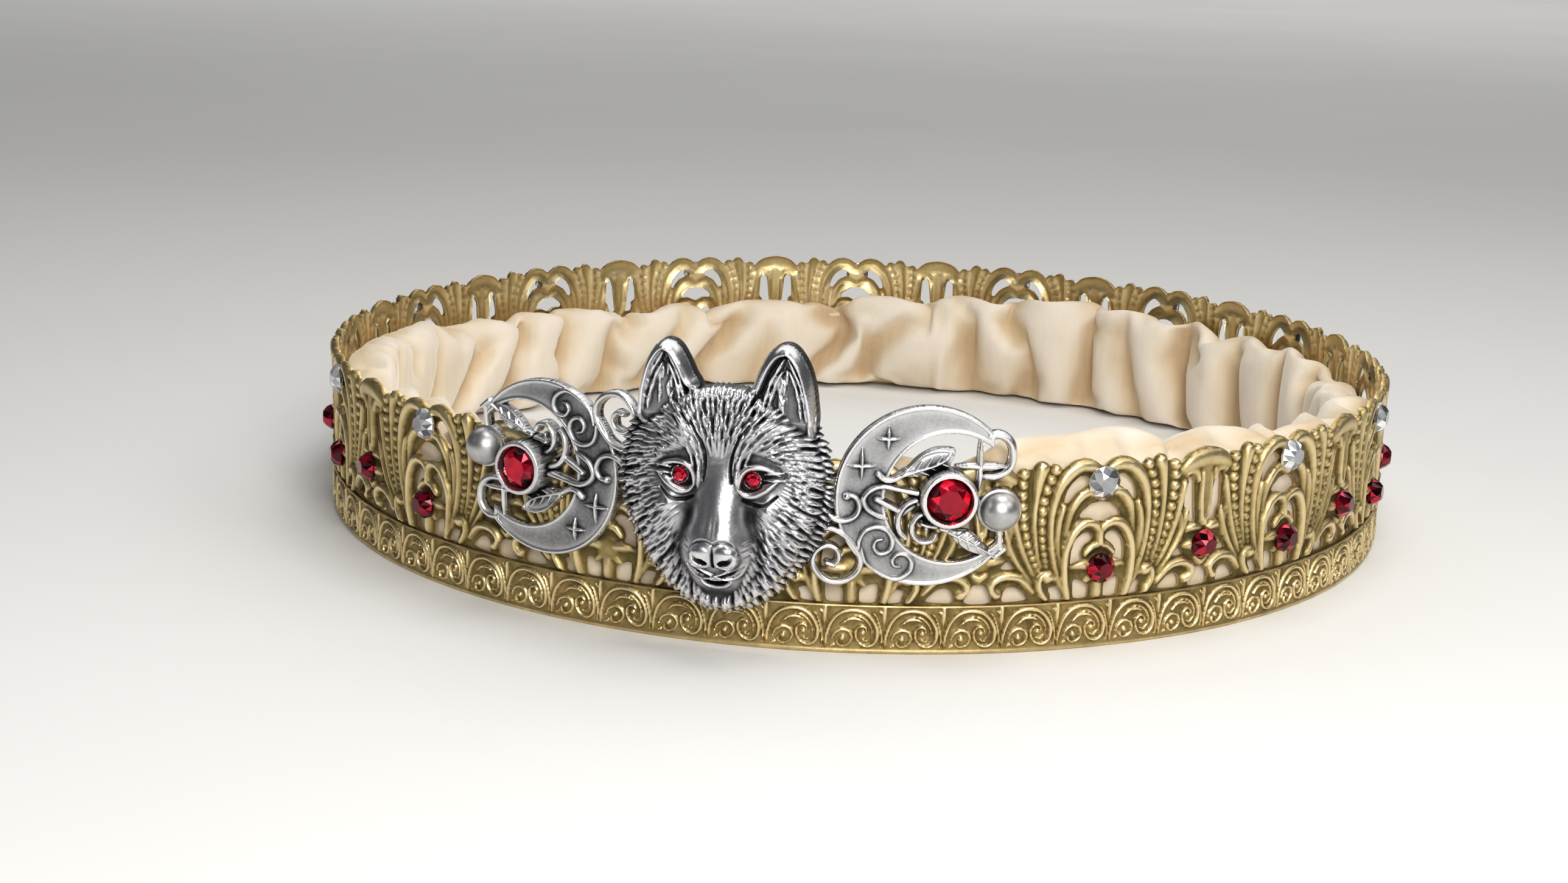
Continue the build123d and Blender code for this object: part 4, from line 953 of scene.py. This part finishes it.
antique_brass = brass_material("antique_brass", (0.82, 0.665, 0.375))
bright_brass = brass_material("bright_brass", (0.92, 0.745, 0.42), shift=0.05)
antique_silver = silver_material("antique_silver")
plate_silver = plate_silver_material("plate_silver")
satin_silver = satin_silver_material("satin_silver")
red_gem = gem_material("red_gem", (0.035, 0.0, 0.003), (0.34, 0.0, 0.016), (0.98, 0.01, 0.05))
dark_red_gem = gem_material("dark_red_gem", (0.014, 0.0, 0.002), (0.085, 0.0, 0.007), (0.46, 0.005, 0.03))
clear_gem = gem_material("clear_gem", (0.10, 0.105, 0.115), (0.46, 0.47, 0.49), (0.98, 0.985, 0.99))
velvet = velvet_material("velvet")

# ---------------------------------------------------------------- stamped band
def stamped_band():
    per = 150                       # cells to a repeat, even
    step = BAND_STEP_MM / per
    half = band_half(step)
    half.h = blur(np.pad(half.h, ((0, 0), (12, 12)), mode="reflect"), 0.11 / step)[:, 12:-12]
    # one repeat from the oval motif's centre round to the next one's
    h = np.hstack([half.h, half.h[:, ::-1][:, 1:]])[:, :per]
    s = np.hstack([half.s, half.s[:, ::-1][:, 1:]])[:, :per]
    R = Relief(0.0, BAND_STEP_MM * 16 - step, half.y[0], half.y[-1], step)
    n = per * 16
    R.x = np.arange(n) * step + BAND_STEP_MM / 2      # oval motifs sit half a repeat off the front
    R.h, R.s = np.tile(h, (1, 16)), np.tile(s, (1, 16))
    # soften the sheet's edges, and dent and wave it a little as handling does
    edge = np.clip(R.s / 0.30, 0, 1)
    R.h = R.h - 0.16 * (1 - np.sqrt(np.clip(1 - (1 - edge) ** 2, 0, 1)))
    th = 2 * math.pi * np.arange(n) / n
    wave = 0.05 * np.sin(5 * th + 0.6) + 0.04 * np.sin(11 * th) + 0.025 * np.sin(23 * th + 2.0)
    back = np.minimum(0.60 * blur(R.h, 0.22 / step, wrap=True) - 0.30, R.h - 0.36)
    back = np.where(R.s < 0.35, np.minimum(back, R.h - 0.42), back)
    verts, faces = relief_solid(R, back, wrap=True)
    r = 94.62 + verts[:, 2] + sampled_wave(verts[:, 0], wave, step)
    low = np.clip((7.9 - verts[:, 1]) / 0.5, 0, 1)    # flat behind the border strip
    r = r - np.clip(r - 94.95, 0, 9) * low
    ob = make_mesh("filigree", around(verts[:, 0], verts[:, 1], r), faces)
    decimate(ob, 196000)
    co = coords(ob)
    ang = np.arctan2(co[:, 0], -co[:, 1])
    sx = np.mod(ang * 95.0 - R.x[0], BAND_STEP_MM * 16)
    rad = np.hypot(co[:, 0], co[:, 1]) / MM
    hh = R.h
    w = wear(hh, R.s, step, gain=0.95)
    w = w * np.clip(0.55 + 0.6 * (R.h - 0.25), 0.3, 1.15)
    Q = Relief(0.0, BAND_STEP_MM * 16 - step, half.y[0], half.y[-1], step)
    Q.x = np.arange(n) * step
    v = sample(Q, w, sx, co[:, 2] / MM, wrap=n)
    front = rad - 94.62 > sample(Q, back, sx, co[:, 2] / MM, wrap=n) + 0.22
    inside = sample(Q, np.clip(0.74 - 0.7 * (blur(R.h, 0.2 / step, wrap=True) - blur(R.h, 0.9 / step, wrap=True)), 0.35, 1), sx, co[:, 2] / MM, wrap=n)
    v = np.where(front, v, inside)
    attribute(ob, "wear", v)
    smooth_by_angle(ob, 52)
    ob.data.materials.append(antique_brass)
    return ob


def sampled_wave(s_mm, wave, step):
    i = (s_mm - BAND_STEP_MM / 2) / step
    n = len(wave)
    i0 = np.floor(i).astype(int)
    t = i - i0
    return wave[i0 % n] * (1 - t) + wave[(i0 + 1) % n] * t


BORDER_SHIFT = -2.3


def border():
    count = 69
    per = 48
    cell = border_cell(8.652 / per)
    step = cell.x[1] - cell.x[0]
    pad = 8
    h = np.hstack([cell.h[:, -1 - pad:-1], cell.h, cell.h[:, 1:pad + 1]])
    h = blur(h, 0.055 / step)[:, pad:-pad][:, :per]
    n = per * count
    R = Relief(0.0, 1.0, cell.y[0], cell.y[-1], step)
    R.x = np.arange(n) * step + BORDER_SHIFT
    R.h = np.tile(h, (1, count))
    R.s = np.full(R.h.shape, 1.0)
    th = 2 * math.pi * np.arange(n) / n
    wave = 0.05 * np.sin(5 * th + 0.6) + 0.03 * np.sin(17 * th)
    verts, faces = relief_solid(R, -0.05, wrap=True)
    ref = n * step / (2 * math.pi)
    co = around(verts[:, 0], verts[:, 1], 95.32 + verts[:, 2] + wave[np.round((verts[:, 0] - BORDER_SHIFT) / step).astype(int) % n], ref=ref)
    ob = make_mesh("border_strip", co, faces)
    decimate(ob, 150000)
    co = coords(ob)
    sx = np.mod(np.arctan2(co[:, 0], -co[:, 1]) * ref - BORDER_SHIFT, n * step) + BORDER_SHIFT
    w = np.clip(wear(R.h, R.s, step, fine=0.18, wide=0.55, gain=1.45) + 0.04, 0, 1)
    attribute(ob, "wear", sample(R, w, sx, co[:, 2] / MM, wrap=n))
    smooth_by_angle(ob, 52)
    ob.data.materials.append(bright_brass)
    return ob


# ---------------------------------------------------------------- castings
def casting(name, R, place, triangles, material, back=0.0, fine=0.25, wide=0.9, gain=1.0, soft=0.07, edge=0.22, polish=0.0, wall=0.22, painted_shade=0.0):
    step = R.x[1] - R.x[0]
    R.h = blur(R.h, soft / step)
    e = np.clip(R.s / edge, 0, 1)
    R.h = R.h - 0.25 * (1 - np.sqrt(np.clip(1 - (1 - e) ** 2, 0, 1)))
    verts, faces = relief_solid(R, back)
    w = wear(R.h, R.s, step, fine, wide, gain)
    if polish:                                       # plain surfaces are rubbed bright, fur stays darker
        rough = blur(np.abs(R.h - blur(R.h, 0.35 / step)), 0.45 / step)
        w = np.clip(w * 0.88 - 0.02 + polish * np.exp(-(rough / 0.035) ** 2), 0, 1)
    # painted shade: the offset painted_shade darkens the whole casting's colour; the relief's own map of painted light
    # lightens parts of it
    w = np.clip(w + painted_shade + R.painted_light, 0, 1)
    v = sample(R, w, verts[:, 0], verts[:, 1])
    half = len(verts) // 2
    v[half:] = 0.25
    ob = make_mesh(name, verts * MM, faces)
    attribute(ob, "wear", v)
    decimate(ob, triangles)
    co = coords(ob) / MM
    v = sample(R, w, co[:, 0], co[:, 1])
    v = np.where(co[:, 2] < sample(R, R.h, co[:, 0], co[:, 1]) * 0.5, wall, v)
    ob.data.attributes["wear"].data.foreach_set("value", v.astype(np.float32))
    set_coords(ob, place(co[:, 0], co[:, 1], co[:, 2]))
    smooth_by_angle(ob, 55)
    ob.data.materials.append(material)
    return ob


MOON_ANGLE, MOON_BACK = 17.37, 95.35
MOON_Z = {"right": 24.2, "left": 23.6}
MOON_TURN = {"right": 0.0, "left": 180.0}
WOLF_X, WOLF_Y = 0.6, 97.5


def moon(side):
    R = moon_relief(0.085)
    a = MOON_ANGLE if side == "right" else -MOON_ANGLE
    return casting("moon_" + side, R, lambda p, q, h: on_plane(a, MOON_BACK, MOON_Z[side], p, q, h, MOON_TURN[side]),
                   120000, plate_silver, fine=0.2, wide=0.8, gain=1.0, soft=0.045, wall=0.42,
                   # painted shade: the left moon is coloured 0.11 darker for the light falling less on that side; the
                   # casting is the same as the right one
                   painted_shade=0.0 if side == "right" else -0.11)


def wolf():
    R = wolf_relief(0.115)
    return casting("wolf", R, lambda p, q, h: np.stack([WOLF_X + p, -WOLF_Y - h, q], -1) * MM,
                   190000, antique_silver, fine=0.22, wide=1.0, gain=0.9, soft=0.07, edge=0.35, polish=0.30)


# ---------------------------------------------------------------- stones
def gem(name, place, r, high, material, seed, sides=8, table=0.5, girdle=0.22):
    """A flat-backed stone: table, star and kite facets over a girdle; place maps (x, y, h) to the row frame."""
    rnd = np.random.RandomState(seed)
    turn = rnd.rand() * 2 * math.pi
    v, f = [], []

    def ring(n, radius, h, off=0.0):
        start = len(v)
        for i in range(n):
            a = turn + 2 * math.pi * (i + off) / n
            v.append((radius * math.cos(a), radius * math.sin(a), h))
        return start
    n = sides
    t = ring(n, r * table, high)
    m = ring(n, r * (table + 0.30), high * 0.70, 0.5)
    g = ring(2 * n, r, high * girdle + 0.12)
    b = ring(2 * n, r * 0.99, high * girdle * 0.3)
    c = ring(2 * n, r * 0.93, 0.0)
    f.append(tuple(range(t, t + n)))
    for i in range(n):
        j = (i + 1) % n
        f.append((t + i, m + i, t + j))
        f.append((t + i, m + (i - 1) % n, g + 2 * i, m + i))
        f.append((m + i, g + 2 * i, g + 2 * i + 1))
        f.append((m + i, g + 2 * i + 1, g + (2 * i + 2) % (2 * n)))
    for i in range(2 * n):
        j = (i + 1) % (2 * n)
        f.append((g + i, b + i, b + j, g + j))
        f.append((b + i, c + i, c + j, b + j))
    f.append(tuple(range(c + 2 * n - 1, c - 1, -1)))
    v = np.array(v)
    # outward faces
    out = []
    for face in f:
        p = v[list(face)]
        nn = np.cross(p[1] - p[0], p[2] - p[0])
        mid = p.mean(0) - np.array([0, 0, high * 0.3])
        out.append(face if nn @ mid > 0 else face[::-1])
    ob = make_mesh(name, place(v[:, 0], v[:, 1], v[:, 2]), out)
    # painted reflections: every facet gets a random brightness for the glints of a foil-backed stone, the table a
    # middling one
    at = ob.data.attributes.new("facet_reflection", "FLOAT", "FACE")
    vals = rnd.rand(len(out)) ** 1.15
    vals[0] = 0.25 + 0.3 * rnd.rand()
    at.data.foreach_set("value", vals.astype(np.float32))
    ob.data.materials.append(material)
    return ob


def on_band(angle, radius, z, tilt=0.0, lean=0.0):
    """Places a small flat-backed piece on the band; tilt and lean rock it by a few degrees."""
    a = math.radians(angle)
    n = Vector((math.sin(a), -math.cos(a), 0.0))
    t = Vector((math.cos(a), math.sin(a), 0.0))
    up = Vector((0, 0, 1.0))
    n = (n + t * math.radians(tilt) + up * math.radians(lean)).normalized()
    t = (t - n * t.dot(n)).normalized()
    up = n.cross(t)
    o = np.array([radius * math.sin(a), -radius * math.cos(a), z])
    n, t, up = np.array(n), np.array(t), np.array(up)
    return lambda x, y, h: (o + np.multiply.outer(x, t) + np.multiply.outer(y, up) + np.multiply.outer(h, n)) * MM


def dome_ball(name, place, r, material):
    """A satin half-ball with a turned rim and a seat."""
    prof = [(0.0, 0.0), (r + 0.32, 0.0), (r + 0.36, 0.16), (r + 0.30, 0.34), (r + 0.12, 0.42), (r + 0.02, 0.46), (r, 0.55)]
    for i in range(1, 15):
        a = math.pi / 2 * i / 14
        prof.append((r * math.cos(a), 0.6 + r * 0.98 * math.sin(a)))
    n = 64
    v, f = [], []
    for pr, ph in prof[:-1]:
        for i in range(n):
            a = 2 * math.pi * i / n
            v.append((pr * math.cos(a), pr * math.sin(a), ph))
    v.append((0, 0, prof[-1][1]))
    rings = len(prof) - 1
    for j in range(1, rings - 1):
        for i in range(n):
            k = (i + 1) % n
            f.append((j * n + i, j * n + k, (j + 1) * n + k, (j + 1) * n + i))
    for i in range(n):
        f.append(((rings - 1) * n + i, (rings - 1) * n + (i + 1) % n, len(v) - 1))
    f.append(tuple(range(2 * n - 1, n - 1, -1)))
    v = np.array(v)
    keep = v[n:]
    f = [tuple(x - n for x in face) for face in f]
    ob = make_mesh(name, place(keep[:, 0], keep[:, 1], keep[:, 2]), f)
    smooth_by_angle(ob, 40)
    ob.data.materials.append(material)
    return ob


# ---------------------------------------------------------------- lining
LINING_TOP = [
    (-180, 21.6), (-165, 20.8), (-150, 19.6), (-130, 20.6), (-110, 22.6), (-90, 25.4),
    (-70, 27.2), (-45, 28.4), (-20, 28.6), (0, 28.8), (14, 30.0), (24, 31.2), (36, 31.6), (48, 30.6), (60, 28.8), (72, 27.6),
    (90, 25.6), (110, 23.6), (130, 23.0), (150, 22.6), (165, 23.6), (180, 21.6),
]


def round_blur(a, sigma):
    """Gaussian blur of a grid that closes on itself both ways."""
    fy = np.fft.fftfreq(a.shape[0])[:, None]
    fx = np.fft.rfftfreq(a.shape[1])[None, :]
    k = np.exp(-2 * (math.pi ** 2) * (sigma ** 2) * (fx ** 2 + fy ** 2))
    return np.fft.irfft2(np.fft.rfft2(a) * k, s=a.shape)


def lining():
    """Gathered velvet: a stuffed tube with too much cloth for its length, so that it buckles into soft puffs."""
    nu = 300
    big = 10.0
    th = np.linspace(-math.pi, math.pi, nu, endpoint=False)
    rows = np.array(LINING_TOP)
    top = np.interp(np.degrees(th), rows[:, 0], rows[:, 1])
    top = np.real(np.fft.ifft(np.fft.fft(top) * np.exp(-0.5 * (np.fft.fftfreq(nu, 1.0 / nu) / 9.0) ** 2)))
    # section, walked from the foot outside over the crest and down the inside: radius, share of the height, offset
    knots = [(93.8, 0.0, 0.9), (93.85, 0.2, 0.5), (93.85, 0.5, 0.2), (93.85, 0.8, -0.6), (93.6, 1.0, -2.6), (92.7, 1.0, -0.9), (91.2, 1.0, -0.3), (89.8, 1.0, -1.1),
             (89.0, 1.0, -3.2), (88.8, 0.75, -0.4), (88.8, 0.5, 0.2), (88.9, 0.25, 0.7), (89.5, 0.0, 1.9), (91.0, 0.0, 0.95)]
    nv = 30
    kn = np.array(knots + [knots[0]])
    walk = np.r_[0, np.cumsum(np.hypot(np.diff(kn[:, 0]), np.diff(kn[:, 1] * 26 + kn[:, 2])))]
    at = np.linspace(0, walk[-1], nv, endpoint=False)
    pr, ps, po = (np.interp(at, walk, kn[:, i]) for i in range(3))
    rnd = np.random.RandomState(4)
    z = ps[:, None] * top[None, :] + po[:, None]
    r = np.repeat(pr[:, None], nu, 1)
    inner = np.clip((93.2 - r) / 3.0, 0, 1)
    # a little unevenness to start the buckles, leaning one way at the left and the other at the right
    T = np.repeat(th[None, :], nv, 0)
    start = np.zeros_like(r)
    for m in range(60):
        f = rnd.randint(14, 46)
        lean = 0.055 * (rnd.rand() - 0.5) - 0.030 * np.sign(np.sin(T)) * (0.4 + rnd.rand())
        start += np.cos(f * (T + lean * (z - 12) / 6) + rnd.rand() * 6.28) * (0.6 + 0.4 * np.cos(rnd.randint(1, 5) * T + rnd.rand() * 6.28))
    start *= 0.42 / start.std()
    r = r - inner * start
    z = z + 0.3 * inner * np.where(ps[:, None] > 0.9, start, 0)
    verts = np.stack([r * np.sin(T), -r * np.cos(T), z], -1).reshape(-1, 3)
    idx = np.arange(nv * nu).reshape(nv, nu)
    a, b = idx, np.roll(idx, -1, 1)
    d, c = np.roll(idx, -1, 0), np.roll(np.roll(idx, -1, 0), -1, 1)
    faces = np.stack([a.ravel(), b.ravel(), c.ravel(), d.ravel()], 1)
    ob = make_mesh("lining", verts * MM * big, faces)
    held = ob.vertex_groups.new(name="held")
    fixed = ((pr > 93.4) & (ps < 0.97)) | ((ps < 0.05) & (pr > 90.5))
    for i in np.nonzero(fixed)[0]:
        held.add([int(v) for v in idx[i]], 1.0, "REPLACE")
    cloth = ob.modifiers.new("cloth", "CLOTH")
    cs = cloth.settings
    cs.quality = 4
    cs.mass = 0.25
    cs.air_damping = 1.0
    cs.tension_stiffness = 12
    cs.compression_stiffness = 12
    cs.shear_stiffness = 4
    cs.bending_stiffness = 0.35
    cs.tension_damping = cs.compression_damping = 4
    cs.shear_damping = 4
    cs.shrink_min = -0.28
    cs.vertex_group_mass = "held"
    cs.pin_stiffness = 1.0
    cs.use_pressure = True
    cs.uniform_pressure_force = 3.0
    cs.effector_weights.gravity = 0.0
    cloth.collision_settings.use_collision = False
    cloth.point_cache.frame_start = 1
    cloth.point_cache.frame_end = 40
    scene = bpy.context.scene
    for f in range(1, 18):
        scene.frame_set(f)
    dep = bpy.context.evaluated_depsgraph_get()
    got = ob.evaluated_get(dep)
    co = np.empty(len(ob.data.vertices) * 3)
    got.data.vertices.foreach_get("co", co)
    co = co.reshape(-1, 3) / big / MM
    ob.modifiers.remove(cloth)
    scene.frame_set(1)
    ob.vertex_groups.clear()
    # keep it inside the band, off the floor and out of the head's room
    rad = np.hypot(co[:, 0], co[:, 1])
    new = np.clip(rad, 84.6, 93.95)
    co[:, 0] *= new / rad
    co[:, 1] *= new / rad
    co[:, 2] = np.clip(co[:, 2], 0.6, 34.5)
    set_coords(ob, co * MM)
    R_ = np.hypot(co[:, 0], co[:, 1]).reshape(nv, nu)
    Z_ = co[:, 2].reshape(nv, nu)
    # painted shade: the colour is darkened in the hollows between the puffs and painted lighter towards the crest; the
    # outer face gets an even 0.7
    cell = 2 * math.pi * 90 / nu
    rel = round_blur(R_, 3.2 / cell) - round_blur(R_, 0.7 / cell)
    wide = round_blur(R_, 7.0 / cell) - round_blur(R_, 1.5 / cell)
    crest = np.clip((Z_ - top[None, :] + 3.0) / 4.0, 0, 1)
    fold_shading = 0.52 + 0.24 * rel + 0.09 * wide + 0.22 * crest
    fold_shading = np.where(inner < 0.05, 0.7, fold_shading)
    attribute(ob, "fold_shading", np.clip(fold_shading, 0, 1).ravel())
    sub = ob.modifiers.new("round", "SUBSURF")
    sub.levels = sub.render_levels = 1
    dep = bpy.context.evaluated_depsgraph_get()
    finer = bpy.data.meshes.new_from_object(ob.evaluated_get(dep), preserve_all_data_layers=True, depsgraph=dep)
    ob.modifiers.remove(sub)
    old, ob.data = ob.data, finer
    bpy.data.meshes.remove(old)
    ob.data.polygons.foreach_set("use_smooth", np.ones(len(ob.data.polygons), bool))
    ob.data.materials.append(velvet)
    return ob


# ---------------------------------------------------------------- the object
def add(piece, slot, *nodes):
    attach(piece, "root")
    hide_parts(*nodes)
    return piece


add(stamped_band(), "antique_brass", "filigree_band")
add(border(), "bright_brass", "border_band")
lining_ob = add(lining(), "velvet", "velvet_lining")
add(wolf(), "antique_silver", "wolf_head")
for side in ("right", "left"):
    add(moon(side), "antique_silver", "moon_charm_" + side)
    a = MOON_ANGLE if side == "right" else -MOON_ANGLE

    def at(x, y, h, side=side, a=a):
        return lambda p, q, k: on_plane(a, MOON_BACK, MOON_Z[side], x + p, y + q, h + k, MOON_TURN[side])
    add(gem("cup_stone_" + side, at(3.0, 0.1, 2.4), 3.22, 2.35, red_gem, 31 if side == "right" else 47, sides=8, table=0.56), "red_glass", "moon_stone_" + side)
    add(dome_ball("half_ball_" + side, at(10.6, -1.8, 1.42), 2.86, satin_silver), "satin_silver", "moon_ball_" + side)

for i, (side, x) in enumerate(zip(("left", "right"), EYE_AT)):
    add(gem("eye_" + side, lambda p, q, k, x=x: np.stack([WOLF_X + x + p, -WOLF_Y - EYE_SEAT - 0.02 - k, EYE_Y + q], -1) * MM, 1.06, 0.75, red_gem, 60 + i, sides=6), "red_glass", "eye_stone_" + side)

STEP_DEG = 22.5
n_clear = n_red = 0
rnd = np.random.RandomState(17)
for k in range(16):
    oval = STEP_DEG / 2 + k * STEP_DEG
    slotted = STEP_DEG + k * STEP_DEG
    oval = oval - 360 if oval > 180 else oval
    slotted = slotted - 360 if slotted > 180.1 else slotted
    if abs(oval) > 20:
        n_clear += 1
        add(gem(f"clear_{n_clear:02d}", on_band(oval + 0.25 * (rnd.rand() - 0.5), 95.35, 25.4 + 0.3 * (rnd.rand() - 0.5), 5 * (rnd.rand() - 0.5), 5 * (rnd.rand() - 0.5)), 2.5, 1.75, clear_gem, 100 + n_clear),
            "clear_glass", f"clear_stone_{n_clear:02d}")
        n_red += 1
        add(gem(f"red_{n_red:02d}", on_band(oval + 0.25 * (rnd.rand() - 0.5), 95.35, 12.3 + 0.3 * (rnd.rand() - 0.5), 5 * (rnd.rand() - 0.5), 5 * (rnd.rand() - 0.5)), 2.3, 2.1, dark_red_gem, 200 + n_red),
            "red_glass", f"red_stone_{n_red:02d}")
    if 30 < abs(slotted) < 179:
        n_red += 1
        add(gem(f"red_{n_red:02d}", on_band(slotted + 0.3 * (rnd.rand() - 0.5), 95.35, 14.4 + 0.4 * (rnd.rand() - 0.5), 5 * (rnd.rand() - 0.5), 5 * (rnd.rand() - 0.5)), 2.3, 2.1, dark_red_gem, 200 + n_red),
            "red_glass", f"red_stone_{n_red:02d}")

# ---------------------------------------------------------------- floor, light and camera
n, FLOOR = 48, 14.0
fv = [(0, 0, 0)] + [(FLOOR * math.cos(2 * math.pi * i / n), FLOOR * math.sin(2 * math.pi * i / n), 0) for i in range(n)]
ff = [(0, 1 + i, 1 + (i + 1) % n) for i in range(n)]
floor = make_mesh("floor", np.array(fv), ff)
floor.data.materials.append(floor_material("floor"))

world = bpy.data.worlds.new("studio")
bpy.context.scene.world = world
world.use_nodes = True
world.node_tree.nodes["Background"].inputs[0].default_value = (0.92, 0.96, 1.0, 1)
world.node_tree.nodes["Background"].inputs[1].default_value = 0.07


def softbox(name, where, aim, size, watts, colour=(1, 1, 1), size_y=None):
    li = bpy.data.lights.new(name, "AREA")
    li.energy = watts
    li.color = colour
    li.shape = "RECTANGLE"
    li.size = size
    li.size_y = size_y or size
    ob = bpy.data.objects.new(name, li)
    bpy.context.scene.collection.objects.link(ob)
    ob.location = where
    ob.rotation_euler = (Vector(aim) - Vector(where)).to_track_quat("-Z", "Y").to_euler()
    return ob


softbox("key", (0.16, -0.44, 0.26), (0, -0.08, 0.02), 0.24, 1.9, (1.0, 0.985, 0.955))
softbox("side", (0.48, -0.16, 0.44), (0, -0.04, 0.02), 0.26, 0.55, (1.0, 0.985, 0.955))
softbox("fill", (-0.52, -0.34, 0.36), (0, -0.06, 0.02), 0.26, 0.05, (0.90, 0.95, 1.0))
softbox("top", (0.10, -0.03, 0.60), (0.02, 0.02, 0.02), 0.34, 1.45, (1.0, 0.98, 0.95))
softbox("far", (0.3, 3.1, 2.4), (0.3, 3.1, 0.0), 6.0, 90.0, (1.0, 0.99, 0.97), size_y=4.0)

cam_data = bpy.data.cameras.new("camera")
camera = bpy.data.objects.new("camera", cam_data)
bpy.context.scene.collection.objects.link(camera)
bpy.context.scene.camera = camera
cam_data.sensor_width = 36.0
cam_data.sensor_fit = "HORIZONTAL"
cam_data.lens = 3560.8 / 2576 * 36.0
cam_data.clip_start = 0.01
cam_data.clip_end = 20.0
E, AZ, ROLL, TX, TY = math.radians(14.753), math.radians(10.91), math.radians(-2.242), 0.03174, 0.01966
backv = Vector((math.sin(AZ) * math.cos(E), -math.cos(AZ) * math.cos(E), math.sin(E)))
where = backv * 0.4102
fwd = -backv
right = fwd.cross(Vector((0, 0, 1))).normalized()
up = right.cross(fwd)
turn = Matrix.Rotation(TX, 3, up)
fwd, right = turn @ fwd, turn @ right
turn = Matrix.Rotation(TY, 3, right)
fwd, up = turn @ fwd, turn @ up
turn = Matrix.Rotation(ROLL, 3, fwd)
right, up = turn @ right, turn @ up
camera.matrix_world = Matrix(((right.x, up.x, -fwd.x, where.x), (right.y, up.y, -fwd.y, where.y),
                              (right.z, up.z, -fwd.z, where.z), (0, 0, 0, 1)))

bpy.context.scene.view_settings.view_transform = "Standard"

bpy.context.view_layer.update()
